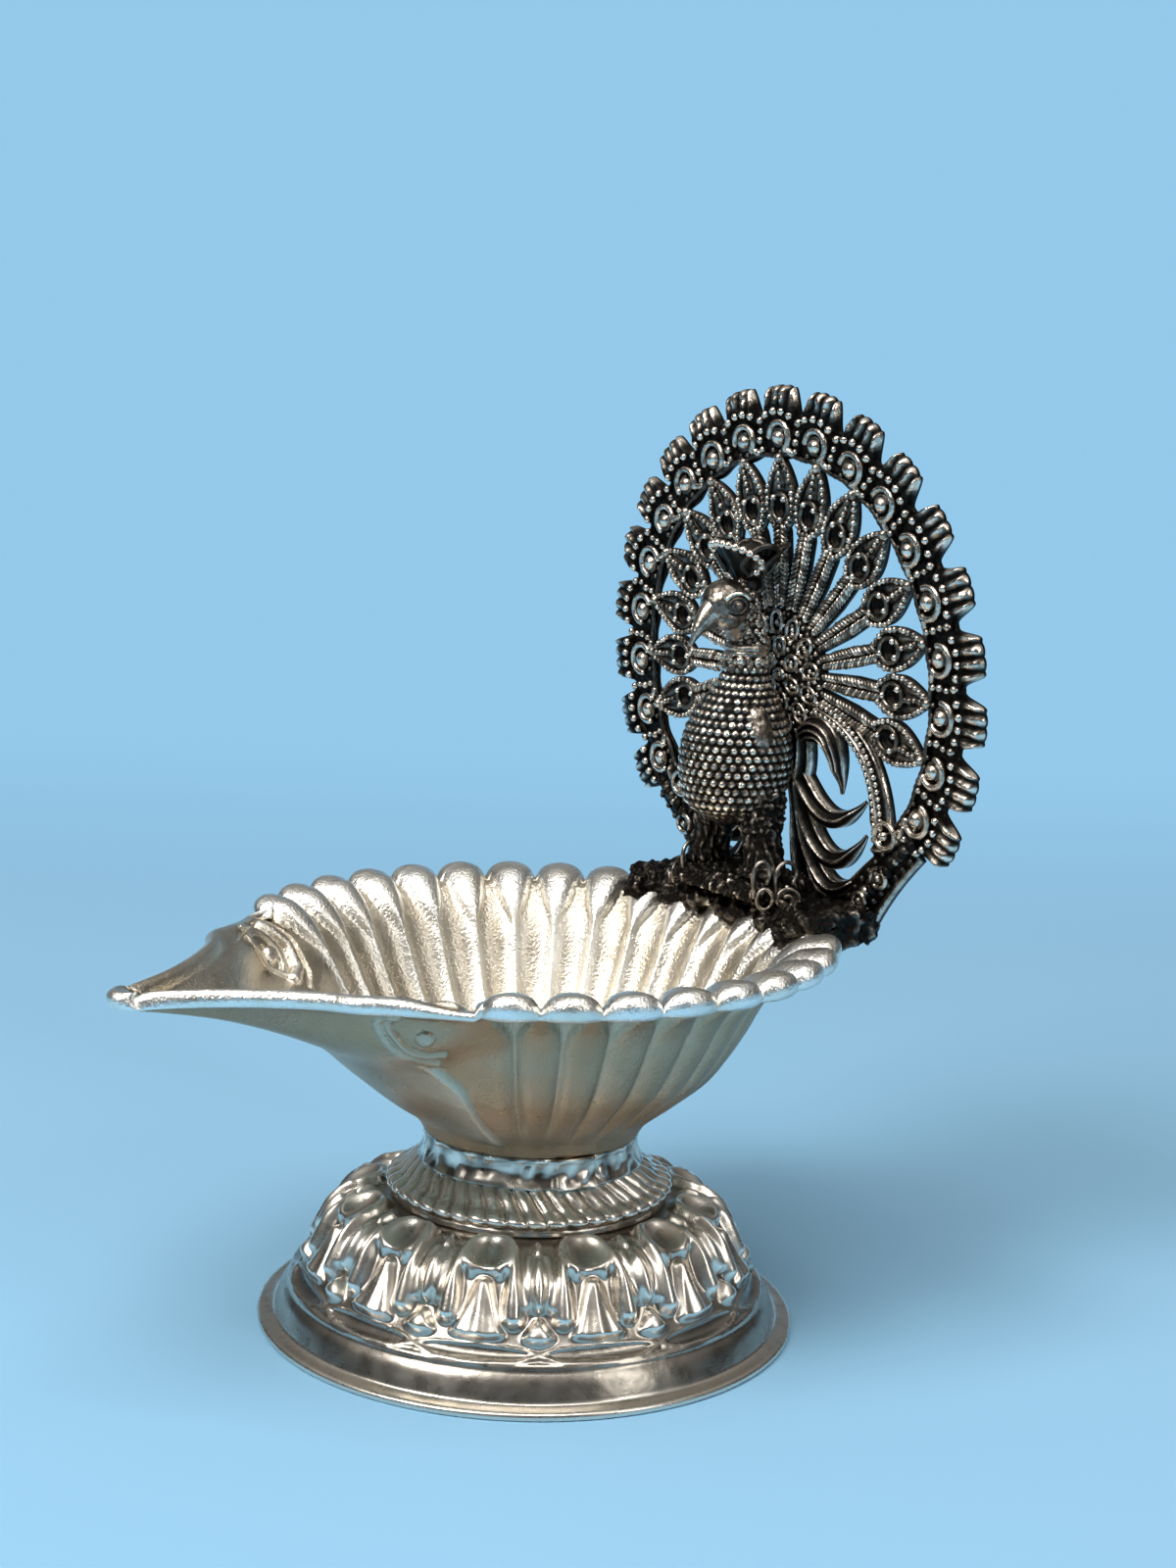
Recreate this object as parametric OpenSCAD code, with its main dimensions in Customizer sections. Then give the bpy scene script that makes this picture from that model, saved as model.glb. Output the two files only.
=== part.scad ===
// Aarti lamp with a bird-beak spout and a displayed peacock on its rear lip.
// The foot, the neck collar and the bowl are pressed from thin sheet metal.
// The peacock, its openwork tail and its bracket are castings soldered to the lip.
// Millimetres. The lamp stands on z = 0, the spout points along -Y and the peacock
// rises at +Y. The origin is the centre of the foot's flat underside.

/* [Sheet metal] */
// Thickness of the pressed sheet
sheet_t = 0.9; // [0.7:0.1:1.2]

/* [Foot] */
// Outer radius of the flat brim that the lamp stands on
foot_r = 31; // [28:0.5:36]
// Height of the petal dome, up to the ribbed shoulder
dome_h = 14.6; // [12:0.2:18]
// Number of lotus petals chased round the dome
petal_count = 12; // [8:1:16]
// Height of the petals above the dome
petal_relief = 1; // [0.6:0.1:1.4]

/* [Shoulder and neck] */
// Radius of the shoulder where it stands on the dome
shoulder_r = 15.9; // [14.5:0.1:17.5]
// Height of the ribbed shoulder
shoulder_h = 4; // [3:0.1:6]
// Number of slanted ribs round the shoulder
rib_count = 44; // [24:1:56]
// Height of the ribs
rib_relief = 0.35; // [0.15:0.05:0.5]
// Radius of the neck under the bowl
neck_r = 11.6; // [10:0.1:13]
// Height of the neck above the shoulder
neck_h = 3.9; // [3:0.1:6]
// Thickness of the lapped strip round the neck
collar_t = 0.5; // [0.3:0.1:0.8]
// Angle over which the strip's end laps over itself
collar_lap = 22; // [10:1:60]

/* [Bowl] */
// Radius of the bowl over its lobed lip
rim_r = 34.5; // [30:0.5:40]
// Height of the bowl from its seat on the neck to the edge of its lip
bowl_h = 21.2; // [17:0.1:26]
// Number of lobes along the lip, from one side of the spout to the other
lobe_count = 24; // [16:1:28]
// Height of the lobes on the lip
lobe_h = 1.5; // [0.8:0.1:2]
// Depth of the scallops between the lobe ends
scallop_d = 1.6; // [0.6:0.1:2.4]
// Height of the thin ridges that run down from the lobes
ridge_h = 0.8; // [0.3:0.1:1.2]

/* [Spout] */
// Distance from the lamp's axis to the tip of the spout
spout_reach = 52.9; // [46:0.1:60]
// Angle from the spout's centre line to the first lobe
spout_half_angle = 45; // [35:1:55]
// Radius of the spout's rounded tip, seen from above
spout_tip_r = 2.4; // [1.6:0.1:3]
// Height of the spout's rolled edge
spout_edge_t = 1.2; // [1:0.1:2]

/* [Bracket] */
// Half of the angle that the bracket covers along the rear lip
bracket_half_angle = 33; // [28:1:38]
// Thickness of the bracket over the lip
bracket_t = 1.5; // [1:0.1:2.2]
// Height of the mound that carries the bird
mound_h = 2.4; // [2:0.1:5]
// Width of the mound
mound_w = 16.6; // [13:0.1:20]

/* [Bird] */
// Width of the body
body_w = 13; // [10:0.1:15]
// Depth of the body from breast to back
body_d = 13.9; // [12:0.1:16]
// Height of the body and neck together
body_h = 20.4; // [18:0.1:24]
// Height of the body's underside over the mound
leg_h = 5.4; // [4:0.1:7]
// Distance between the two legs
leg_gap = 10.4; // [8:0.1:11]
// Radius of a leg at its foot
leg_r = 2.2; // [1.5:0.1:2.6]
// Radius of the head
head_r = 3.1; // [2.5:0.1:3.8]
// Length of the beak in front of the head
beak_l = 4.6; // [3:0.1:6]
// Height of the crest's petals
crest_h = 5; // [4:0.1:7]
// Number of petals in the crest
crest_count = 5; // [3:2:7]

/* [Tail fan] */
// Radius of the fan over the tips of its outer lobes
fan_r = 33.9; // [30:0.5:38]
// Radius of the fan's valleys between the outer lobes
fan_valley_r = 31.6; // [28:0.1:33]
// Radius of the opening inside the lobed ring
fan_inner_r = 25.4; // [22:0.1:27]
// Thickness of the openwork casting
fan_t = 1.3; // [1:0.1:2]
// Number of lobes round the ring
fan_lobe_count = 19; // [13:2:23]
// Angle between two lobes
fan_lobe_pitch = 13.4; // [11:0.1:14]
// Number of feathers inside the ring
feather_count = 15; // [9:2:17]
// Angle between two feathers
feather_angle = 15.2; // [13:0.1:17]
// Width of a feather's head
feather_w = 4.9; // [3.6:0.1:5.4]
// Width of a feather's twisted stem at its widest
stem_w = 2.5; // [1.6:0.1:2.7]
// Radius of the rosette that the feathers spring from
hub_r = 7.6; // [6:0.1:9]
// Height of the fan's centre above the ground, along the fan
fan_centre_h = 73.8; // [70:0.1:80]
// Angle at which the fan leans over the bowl
fan_lean = 4.15; // [0:0.05:8]
// Distance from the lip's outer edge to the fan's front, at the height of the lip
fan_gap = 1.5; // [0.5:0.1:4]

/* [Hidden] */
// Gap where two curved castings meet under the solder
seat = 0.12;
// Length by which cuts run past what they cut
over = 1;
// Facets of the round parts
$fn = 72;
// Colours of the polished sheet, the satin sheet and the darkened castings
bright = [0.83, 0.82, 0.78];
satin = [0.76, 0.76, 0.74];
dark = [0.30, 0.29, 0.28];
worn = [0.46, 0.45, 0.43];

// Unit and mixing helpers
function mix(a, b, k) = a * (1 - k) + b * k;
function clamp01(k) = min(1, max(0, k));
function smooth(k) = let (c = clamp01(k)) c * c * (3 - 2 * c);
function unit(v) = v / max(norm(v), 1e-9);
function reversed(list) = [for (i = [len(list) - 1 : -1 : 0]) list[i]];
function bezier3(p, t) = p[0] * pow(1 - t, 3) + p[1] * 3 * t * pow(1 - t, 2)
    + p[2] * 3 * t * t * (1 - t) + p[3] * pow(t, 3);

// Direction along a profile at point i, and the profile moved to its left by t
function run(p, i) = unit(p[min(i + 1, len(p) - 1)] - p[max(i - 1, 0)]);
function inset(p, t) = [for (i = [0 : len(p) - 1]) let (d = run(p, i)) p[i] + [-d[1], d[0]] * t];

// Faces of a closed stack of rings with n points each, capped by its first and last ring
function stack_faces(n, rings) = concat(
    [for (j = [0 : rings - 2], i = [0 : n - 1]) let (k = (i + 1) % n)
        [j * n + i, (j + 1) * n + k, j * n + k]],
    [for (j = [0 : rings - 2], i = [0 : n - 1]) let (k = (i + 1) % n)
        [j * n + i, (j + 1) * n + i, (j + 1) * n + k]],
    [[for (i = [0 : n - 1]) i]],
    [[for (i = [n - 1 : -1 : 0]) (rings - 1) * n + i]]);

// Solid through a list of rings of equal length
module ring_stack(rings) {
    polyhedron(points = [for (r = rings) each r],
        faces = stack_faces(len(rings[0]), len(rings)), convexity = 6);
}

// Outer line of the dome, from the brim to the shoulder's seat
foot_line_shares = [[0.934, 0.062], [0.925, 0.13], [0.91, 0.2], [0.868, 0.34], [0.816, 0.44],
                    [0.774, 0.57], [0.745, 0.69], [0.716, 0.8], [0.674, 0.89], [0.61, 0.96],
                    [0.552, 1]];
foot_line = [for (s = foot_line_shares) [s[0] * foot_r, s[1] * dome_h]];
// Width of the flat ledge inside the shoulder's wall
ledge_w = 2.2;

// Ring of chased petals, a band whose back lies inside the sheet
petal_first_share = 0.42;
petal_last_share = 0.97;
petal_rows = 8;
petal_columns = 12;
function line_at(line, z) = lookup(z, [for (p = line) [p[1], p[0]]]);
// Relief at a place across a petal, from -0.5 to 0.5, and up the band, from 0 to 1
function arch(a, h) = 1 - pow((norm([a / 0.22, (h - 0.74) / 0.24]) - 1) / 0.4, 2);
function bell(a, h) = 1 - pow(a / mix(0.3, 0.08, h / 0.6), 4) - pow((h - 0.26) / 0.34, 4);
function side_leaf(a, h) = 1 - pow(norm([(abs(a) - 0.3) / 0.09, (h - 0.42) / 0.3]), 2);
function spike(a, h) = 1 - pow(norm([(0.5 - abs(a)) / 0.08, (h - 0.62) / 0.26]), 2);
function drop(a, h) = 1 - pow(norm([(0.5 - abs(a)) / 0.14, (h - 0.2) / 0.16]), 2);
function petal_form(a, h) = max(0.1, 0.9 * arch(a, h), bell(a, h), 0.8 * side_leaf(a, h),
    0.85 * spike(a, h), 0.8 * drop(a, h));
function petal_ring(row) = let (h = row / (petal_rows - 1),
    z = mix(petal_first_share, petal_last_share, h) * dome_h, r = line_at(foot_line, z))
    [for (i = [0 : petal_count * petal_columns - 1]) let (a = i % petal_columns / petal_columns - 0.5,
        edge = row == 0 || row == petal_rows - 1,
        out = edge ? -sheet_t / 2 : petal_relief * petal_form(a, h),
        turn = i * 360 / (petal_count * petal_columns))
        [(r + out) * cos(turn), (r + out) * sin(turn), z]];
function petal_back(row) = let (h = row / (petal_rows - 1),
    z = mix(petal_first_share, petal_last_share, h) * dome_h,
    r = line_at(foot_line, z) - sheet_t / 2, n = petal_count * petal_columns)
    [for (i = [0 : n - 1]) [r * cos(i * 360 / n), r * sin(i * 360 / n), z]];

module foot_shell() color(bright) {
    inner = inset(foot_line, sheet_t);
    seat_r = shoulder_r - ledge_w;
    outline = concat([[foot_r, 0], [foot_r, sheet_t]], foot_line, [[seat_r, dome_h]],
        [[seat_r, dome_h - sheet_t]], reversed(inner), [[inner[0][0], 0]]);
    rotate_extrude($fn = 140) polygon(outline);
    petal_band();
}
module petal_band() {
    n = petal_count * petal_columns;
    rows = concat([for (j = [0 : petal_rows - 1]) petal_ring(j)],
        [for (j = [petal_rows - 2 : -1 : 1]) petal_back(j)]);
    m = len(rows);
    polyhedron(points = [for (r = rows) each r], convexity = 8,
        faces = [for (j = [0 : m - 1], i = [0 : n - 1], half = [0, 1]) let (k = (i + 1) % n,
            l = (j + 1) % m) half == 0 ? [j * n + i, l * n + k, j * n + k]
            : [j * n + i, l * n + i, l * n + k]]);
}

// Shoulder and neck: one pressed tube whose flared part carries the ribs
shoulder_z = dome_h;
neck_z = dome_h + shoulder_h;
bowl_z = neck_z + neck_h;
// Places along the flare, from the shoulder's radius to the neck's
flare_shares = [0.22, 0.38, 0.6, 0.84];
flare_rise_shares = [0.45, 0.75];
bore_flare_share = 0.62;
shoulder_line = [[shoulder_r, shoulder_z], [shoulder_r, shoulder_z + sheet_t],
    [mix(shoulder_r, neck_r, flare_shares[0]), shoulder_z + sheet_t],
    [mix(shoulder_r, neck_r, flare_shares[1]), mix(shoulder_z, neck_z, flare_rise_shares[0])],
    [mix(shoulder_r, neck_r, flare_shares[2]), mix(shoulder_z, neck_z, flare_rise_shares[1])],
    [mix(shoulder_r, neck_r, flare_shares[3]), neck_z], [neck_r, mix(neck_z, bowl_z, 0.4)],
    [neck_r, bowl_z]];
module ribbed_shoulder() color(bright) {
    bore_r = neck_r - sheet_t;
    rotate_extrude() polygon(concat(shoulder_line, [[bore_r, bowl_z],
        [bore_r, mix(neck_z, bowl_z, 0.3)], [mix(shoulder_r, neck_r, bore_flare_share) - sheet_t,
        neck_z - sheet_t],
        [shoulder_r - ledge_w, shoulder_z + sheet_t], [shoulder_r - ledge_w, shoulder_z]]));
    for (i = [0 : rib_count - 1]) rotate(i * 360 / rib_count) shoulder_rib();
}
// A rib is a slender rounded bar that follows the flared part
module shoulder_rib() {
    from = [mix(shoulder_r, neck_r, 0.3), 0, shoulder_z + sheet_t];
    to = [mix(shoulder_r, neck_r, 0.72), -rib_relief * 4, neck_z - rib_relief];
    way = to - from;
    translate(from) rotate([0, acos(way[2] / norm(way)), atan2(way[1], way[0])])
        cylinder(r = rib_relief * 2, h = norm(way), $fn = 16);
}

// Lapped strip that hides the joint of the neck
module neck_collar() color(bright) {
    low = neck_z + sheet_t / 2;
    high = bowl_z - seat;
    wide = mix(shoulder_r, neck_r, flare_shares[3]) + seat;
    slim = neck_r + seat;
    waist = mix(low, high, 0.35);
    strip = [[wide, low], [slim, waist], [slim, high], [slim + collar_t, high],
        [slim + collar_t, waist], [wide + collar_t, low]];
    lap = [for (p = strip) p + [collar_t * 0.8, 0]];
    rotate(180) rotate_extrude() polygon(strip);
    rotate(-collar_lap) rotate_extrude(angle = collar_lap) polygon(lap);
}

// Bowl: places where the round wall and the spout's keel pass each level of the sheet
wall_r_shares = [0.36, 0.39, 0.493, 0.615, 0.696, 0.757, 0.812, 0.91, 1];
wall_z_shares = [0, 0.075, 0.212, 0.39, 0.59, 0.778, 0.896, 0.995, 1];
keel_y_shares = [0.235, 0.259, 0.336, 0.427, 0.522, 0.662, 0.803, 0.926, 1];
keel_z_shares = [0, 0.085, 0.222, 0.406, 0.6, 0.755, 0.868, 0.934, 0.965];
levels = len(wall_r_shares);
// Rim of the spout: a curve from the first lobe to the rounded tip
rim_pull_share = 0.4;
beak_pull_share = 0.77;
beak_w_share = 0.15;
rim_corner = rim_r * [sin(spout_half_angle), -cos(spout_half_angle)];
spout_curve = [rim_corner,
    rim_corner - rim_r * rim_pull_share * [cos(spout_half_angle), sin(spout_half_angle)],
    [rim_r * beak_w_share, -spout_reach * beak_pull_share],
    [spout_tip_r, spout_tip_r - spout_reach]];
// Columns of the sheet: samples on each lobe, on each side of the spout and round its tip
lobe_steps = 6;
spout_steps = 7;
tip_steps = 2;
lobe_pitch = (360 - 2 * spout_half_angle) / lobe_count;
function rim_of_spout(i) = i <= spout_steps ? bezier3(spout_curve, i / spout_steps)
    : let (a = (i - spout_steps) * 90 / (tip_steps + 1))
        [spout_tip_r * cos(a), spout_tip_r - spout_reach - spout_tip_r * sin(a)];
side_steps = spout_steps + tip_steps + 1;
// A column is [kind, place]: kind 0 is on a lobe and kind 1 or -1 on the spout's side
columns = concat(
    [for (i = [0 : side_steps]) [1, side_steps - i]],
    [for (i = [1 : lobe_count * lobe_steps - 1]) [0, i]],
    [for (i = [0 : side_steps - 1]) [-1, i]]);
count = len(columns);

// Smooth sheet at column c and level j, before the lobes are raised
function base_point(c, j) = columns[c][0] == 0 ? wall_point(columns[c][1], j)
    : spout_point(columns[c][0], columns[c][1], j);
function wall_point(i, j) = let (a = spout_half_angle + i * lobe_pitch / lobe_steps,
    x = abs(2 * (i % lobe_steps) / lobe_steps - 1), lip = smooth((j - levels + 3) / 2),
    r = rim_r * wall_r_shares[j] - lip * scallop_d * x * x)
    [r * sin(a), -r * cos(a), bowl_z + bowl_h * wall_z_shares[j]];
function spout_point(side, i, j) = let (u = i / side_steps, a = spout_half_angle * (1 - u),
    r = rim_r * wall_r_shares[j], e = spout_reach * keel_y_shares[j],
    y0 = r * cos(spout_half_angle), rim = rim_of_spout(i), k = smooth((j - 3) / (levels - 4)),
    arc = [r * sin(a), y0 + (r * cos(a) - y0) * (e - y0) / (r - y0)],
    beak = [rim[0] * wall_r_shares[j], y0 + (-rim[1] + rim_corner[1])
        * (e - y0) / (spout_reach + rim_corner[1])],
    z = mix(wall_z_shares[j], keel_z_shares[j], smooth(u * 1.2)),
    p = mix(arc, beak, k))
    [side * p[0], -p[1], bowl_z + bowl_h * z];
// Inward direction of the sheet, from its neighbours
function across(c, j) = base_point((c + 1) % count, j) - base_point((c + count - 1) % count, j);
function upward(c, j) = base_point(c, min(j + 1, levels - 1)) - base_point(c, max(j - 1, 0));
function inward(c, j) = unit(cross(upward(c, j), across(c, j)));
// Relief of the lobes: rounded pads on the lip, thin ridges down the wall
function lobe_relief(c, j) = columns[c][0] != 0 ? 0
    : let (x = abs(2 * (columns[c][1] % lobe_steps) / lobe_steps - 1),
        lip = smooth((j - levels + 4) / 2), fade = smooth((j - 1) / 2),
        pad = lobe_h * sqrt(max(0, 1 - x * x)) * (j == levels - 1 ? 0.45 : 1),
        ridge = ridge_h * pow(1 - x, 2) * fade)
        mix(ridge, pad, lip);
// Thickness of the sheet, with the spout's edge rolled over
function sheet_at(c, j) = columns[c][0] == 0 ? sheet_t
    : mix(sheet_t, spout_edge_t, smooth((j - levels + 3) / 2) * smooth(columns[c][1] / 2));
function outer_point(c, j) = base_point(c, j) + inward(c, j) * lobe_relief(c, j);
function inner_point(c, j) = base_point(c, j) + inward(c, j) * (lobe_relief(c, j) + sheet_at(c, j));
foot_ring_r = rim_r * wall_r_shares[0] - sheet_t;
function neck_ring_at(r, z) = [for (c = [0 : count - 1]) let (p = base_point(c, 0))
    concat(unit([p[0], p[1]]) * r, [z])];
module bowl_shell() color(satin) {
    ring_stack(concat(
        [neck_ring_at(foot_ring_r, bowl_z + sheet_t)], [neck_ring_at(foot_ring_r, bowl_z)],
        [for (j = [0 : levels - 1]) [for (c = [0 : count - 1]) outer_point(c, j)]],
        [for (j = [levels - 1 : -1 : 1]) [for (c = [0 : count - 1]) inner_point(c, j)]],
        [neck_ring_at(foot_ring_r, bowl_z + 2 * sheet_t)]));
}

// The fan's plane: its front at height z, and a frame on it with x across, y up the
// plane from the fan's centre and z towards the front
lip_z = bowl_z + bowl_h;
fan_foot_y = rim_r + fan_gap + lip_z * tan(fan_lean);
function fan_front(z) = fan_foot_y - z * tan(fan_lean);
module on_fan(out = 0) translate([0, fan_foot_y, 0]) rotate([90 + fan_lean, 0, 0])
    translate([0, fan_centre_h, out]) children();
// Height up the fan's plane of a level z
function fan_level(z) = z / cos(fan_lean) - fan_centre_h;

// Bracket: a cast strip on the rear lip, with a window on each side
lip_top_z = lip_z + lobe_h + sheet_t + seat;
bracket_front_r = rim_r * 0.805;
bracket_front_drop = 2.2;
bracket_front_z = lip_top_z - bracket_front_drop;
bracket_z = lip_top_z + bracket_t;
bracket_drop = 2.4;
bracket_back = fan_front(bracket_z) + fan_t;
bracket_half_w = 16.4;
bracket_corner = 2;
window_w = 5.6;
window_d = 3;
window_turn = 21;
module lip_bracket() color(dark) {
    out_r = rim_r + seat * 3;
    far_r = bracket_back * 1.2;
    strip = [[bracket_front_r, bracket_front_z], [rim_r * 0.88, lip_top_z], [out_r, lip_top_z],
        [out_r, lip_top_z - bracket_drop], [far_r, lip_top_z - bracket_drop], [far_r, bracket_z],
        [rim_r * 0.86, bracket_z], [bracket_front_r, bracket_front_z + bracket_t]];
    difference() {
        intersection() {
            rotate(90 - bracket_half_angle) rotate_extrude(angle = 2 * bracket_half_angle)
                polygon(strip);
            linear_extrude(2 * bracket_z) bracket_plan();
        }
        for (side = [-1, 1]) rotate(side * window_turn)
            translate([0, rim_r * 0.905, bracket_front_z - over]) window_cut();
    }
}
module bracket_plan() hull() {
    for (x = [-1, 1]) translate([x * (bracket_half_w - bracket_corner), bracket_back - bracket_corner])
        circle(bracket_corner, $fn = 32);
    for (x = [-1, 1]) translate([x * bracket_half_w, rim_r * 0.72]) circle(bracket_corner, $fn = 32);
}
module window_cut() linear_extrude(2 * bracket_t + 3 * over) hull() for (x = [-1, 1])
    translate([x * (window_w - window_d) / 2, 0]) circle(d = window_d, $fn = 32);

// Body and neck: a loft of oval sections, its back against the fan
mound_z = bracket_z + mound_h;
body_z = mound_z + leg_h;
neck_top_z = body_z + body_h;
body_y = fan_front(body_z + 0.4 * body_h) - seat - body_d / 2;
section_z_shares = [0, 0.025, 0.08, 0.16, 0.27, 0.4, 0.52, 0.63, 0.72, 0.8, 0.88, 1];
section_w_shares = [0.16, 0.42, 0.68, 0.86, 0.96, 1, 0.95, 0.84, 0.69, 0.54, 0.46, 0.42];
section_d_shares = [0.18, 0.44, 0.7, 0.87, 0.96, 1, 0.95, 0.84, 0.68, 0.53, 0.44, 0.4];
section_back_shares = [0.02, 0.01, 0, -0.01, -0.01, 0, 0, 0.01, 0.025, 0.045, 0.06, 0.065];
body_sides = 22;
function body_ring(i, grow) = [for (k = [0 : body_sides - 1]) let (a = k * 360 / body_sides)
    [(section_w_shares[i] * body_w / 2 + grow) * cos(a),
     body_y + section_back_shares[i] * body_d + (section_d_shares[i] * body_d / 2 + grow) * sin(a),
     body_z + section_z_shares[i] * body_h - (i == 0 ? grow : 0)]];
module body_form(grow = 0) ring_stack([for (i = [0 : len(section_z_shares) - 1]) body_ring(i, grow)]);
module body() color(dark) body_form();

// Mound under the legs
mound_front_d = 3.2;
mound_front = body_y - mound_front_d;
mound_back = fan_front(bracket_z) - seat;
mound_corner = 2;
module mound_outline(step) hull() for (x = [-1, 1], y = [0, 1])
    translate([x * (mound_w / 2 - mound_corner),
        y == 0 ? mound_front + mound_corner : mound_back - mound_corner])
        circle(mound_corner - step, $fn = 40);
module perch_mound() color(dark) {
    translate([0, 0, bracket_z]) linear_extrude(mound_h * 0.6) mound_outline(0);
    translate([0, 0, bracket_z]) linear_extrude(mound_h) mound_outline(mound_corner * 0.4);
}

// Legs: two stout tapered columns that end at the body's underside
leg_back_d = 0.9;
leg_y = body_y + leg_back_d;
leg_splay = 1.7;
module legs() color(dark) difference() {
    for (side = [-1, 1]) leg(side);
    body_form(seat);
    translate([-mound_w, leg_y - mound_w, mound_z - mound_h]) cube([2 * mound_w, 2 * mound_w, mound_h]);
}
module leg(side) {
    rise = leg_h + body_h * 0.2;
    translate([side * leg_gap / 2, leg_y, mound_z]) {
        cylinder(r1 = leg_r * 1.25, r2 = leg_r, h = leg_h * 0.3, $fn = 32);
        rotate([0, -side * atan(leg_splay / rise), 0]) cylinder(r1 = leg_r, r2 = leg_r * 1.3,
            h = rise, $fn = 32);
    }
}

// Wire loops and scrolls round the mound
wire_r = 0.45;
loop_w = 2.6;
loop_h = 3.2;
scroll_r = 1.3;
module wire_ring(radius, angle) rotate_extrude(angle = angle, $fn = 40)
    translate([radius, 0]) circle(wire_r, $fn = 20);
module leaf_loop() {
    for (x = [-1, 1]) translate([x * loop_w / 2, 0, 0]) cylinder(r = wire_r, h = loop_h, $fn = 20);
    translate([0, 0, loop_h]) rotate([90, 0, 0]) wire_ring(loop_w / 2, 180);
}
module base_scrolls() color(worn) {
    for (side = [-1, 1]) {
        translate([side * leg_gap / 2, leg_y - leg_r * 1.25 - wire_r - seat, mound_z])
            leaf_loop();
        translate([side * (leg_gap / 2 + leg_r * 1.25 + wire_r + seat), body_y, mound_z])
            rotate(90) leaf_loop();
        translate([side * (mound_w / 2 - scroll_r - wire_r), mound_front - wire_r - seat,
            bracket_z + scroll_r + wire_r]) rotate([90, 0, 0]) wire_ring(scroll_r, 360);
    }
}

// Ring moulding at the top of the neck
neck_ring_t = 1.1;
neck_y = body_y + section_back_shares[len(section_back_shares) - 1] * body_d;
neck_half_w = body_w * section_w_shares[len(section_w_shares) - 1] / 2;
module neck_ring() color(worn) translate([0, neck_y, neck_top_z]) rotate_extrude()
    polygon([[0, 0], [neck_half_w, 0], [neck_half_w + neck_ring_t * 0.4, neck_ring_t * 0.3],
        [neck_half_w + neck_ring_t * 0.4, neck_ring_t * 0.7], [neck_half_w, neck_ring_t],
        [0, neck_ring_t]]);

// Head: a ball on a tapered throat, with a beak that points forwards and down
head_z = neck_top_z + neck_ring_t + head_r * 1.55;
head_y = neck_y - head_r * 1.05;
beak_drop = 43;
beak_r = 1.3;
beak_tip_r = 0.25;
eye_r = 0.95;
eye_wire_r = 0.28;
module head_ball(grow = 0) translate([0, head_y, head_z]) sphere(head_r + grow);
module head() color(worn) difference() {
    head_solid();
    translate([0, neck_y, neck_top_z - over])
        cylinder(r = neck_half_w * 2, h = neck_ring_t + over);
}
module head_solid() {
    throat = [0, neck_y - head_y, neck_top_z + neck_ring_t - head_z];
    head_ball();
    translate([0, neck_y, neck_top_z + neck_ring_t])
        cylinder(r1 = neck_half_w, r2 = neck_half_w * 0.86, h = neck_ring_t);
    translate([0, neck_y, neck_top_z + 1.6 * neck_ring_t])
        rotate([atan2(neck_y - head_y, -throat[2]), 0, 0])
        cylinder(r1 = neck_half_w * 0.9, r2 = head_r * 0.8, h = norm(throat) * 0.8);
    translate([0, head_y, head_z]) rotate([90 + beak_drop, 0, 0])
        cylinder(r1 = beak_r * 1.4, r2 = beak_tip_r, h = head_r + beak_l);
    for (side = [-1, 1]) translate([side * head_r * 0.84, head_y - head_r * 0.1, head_z])
        rotate([0, side * 90, 0]) eye();
}
module eye() {
    rotate_extrude($fn = 40) translate([eye_r, 0]) circle(eye_wire_r, $fn = 20);
    sphere(eye_r * 0.62, $fn = 32);
}

// Crest: a flared cup on the head, cut into leaf-shaped petals that face forwards
crest_y = head_y + head_r * 0.93;
crest_z = head_z + head_r * 0.72;
crest_t = 0.8;
crest_r = 5.2;
crest_spread = 60;
cup_r_shares = [0.3, 0.4, 0.58, 0.8, 1];
cup_z_shares = [0, 0.25, 0.5, 0.76, 1];
crest_petal_w = 4.8;
function petal_half(u) = pow(sin(180 * pow(u, 1.3)), 0.6) + 0.3 * (1 - u);
module crest_cup() rotate_extrude() polygon(concat([[0, 0]],
    [for (k = [0 : 4]) [cup_r_shares[k] * crest_r, cup_z_shares[k] * crest_h]],
    [for (k = [4 : -1 : 1]) [cup_r_shares[k] * crest_r - crest_t, cup_z_shares[k] * crest_h]],
    [[0, cup_z_shares[1] * crest_h]]));
module crest_petal() {
    n = 10;
    side = [for (i = [0 : n - 1]) [crest_petal_w / 2 * min(1, petal_half(i / n)), crest_h * i / n]];
    rotate([90, 0, 0]) linear_extrude(crest_r + over)
        polygon(concat(side, [[0, crest_h]], [for (p = reversed(side)) [-p[0], p[1]]]));
}
module crest() color(worn) difference() {
    translate([0, crest_y, crest_z]) intersection() {
        crest_cup();
        union() {
            for (i = [0 : crest_count - 1])
                rotate((i - (crest_count - 1) / 2) * crest_spread) crest_petal();
            cylinder(r = cup_r_shares[0] * crest_r, h = cup_z_shares[1] * crest_h);
        }
    }
    head_ball(seat);
}

// Lobed ring of the fan
lobe_points = 8;
ring_end = fan_lobe_pitch * fan_lobe_count / 2;
function lobe_edge(a) = let (x = abs(2 * (a / fan_lobe_pitch - floor(a / fan_lobe_pitch)) - 1))
    fan_valley_r + (fan_r - fan_valley_r) * pow(1 - x, 0.6);
function polar(r, a) = [r * sin(a), r * cos(a)];
module tail_ring() color(dark) on_fan(-fan_t) linear_extrude(fan_t) polygon(concat(
    [for (i = [0 : fan_lobe_count * lobe_points])
        polar(lobe_edge(i * fan_lobe_pitch / lobe_points), i * fan_lobe_pitch / lobe_points - ring_end)],
    [for (i = [3 * fan_lobe_count : -1 : 0])
        polar(fan_inner_r, 2 * ring_end * i / (3 * fan_lobe_count) - ring_end)]));
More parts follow.
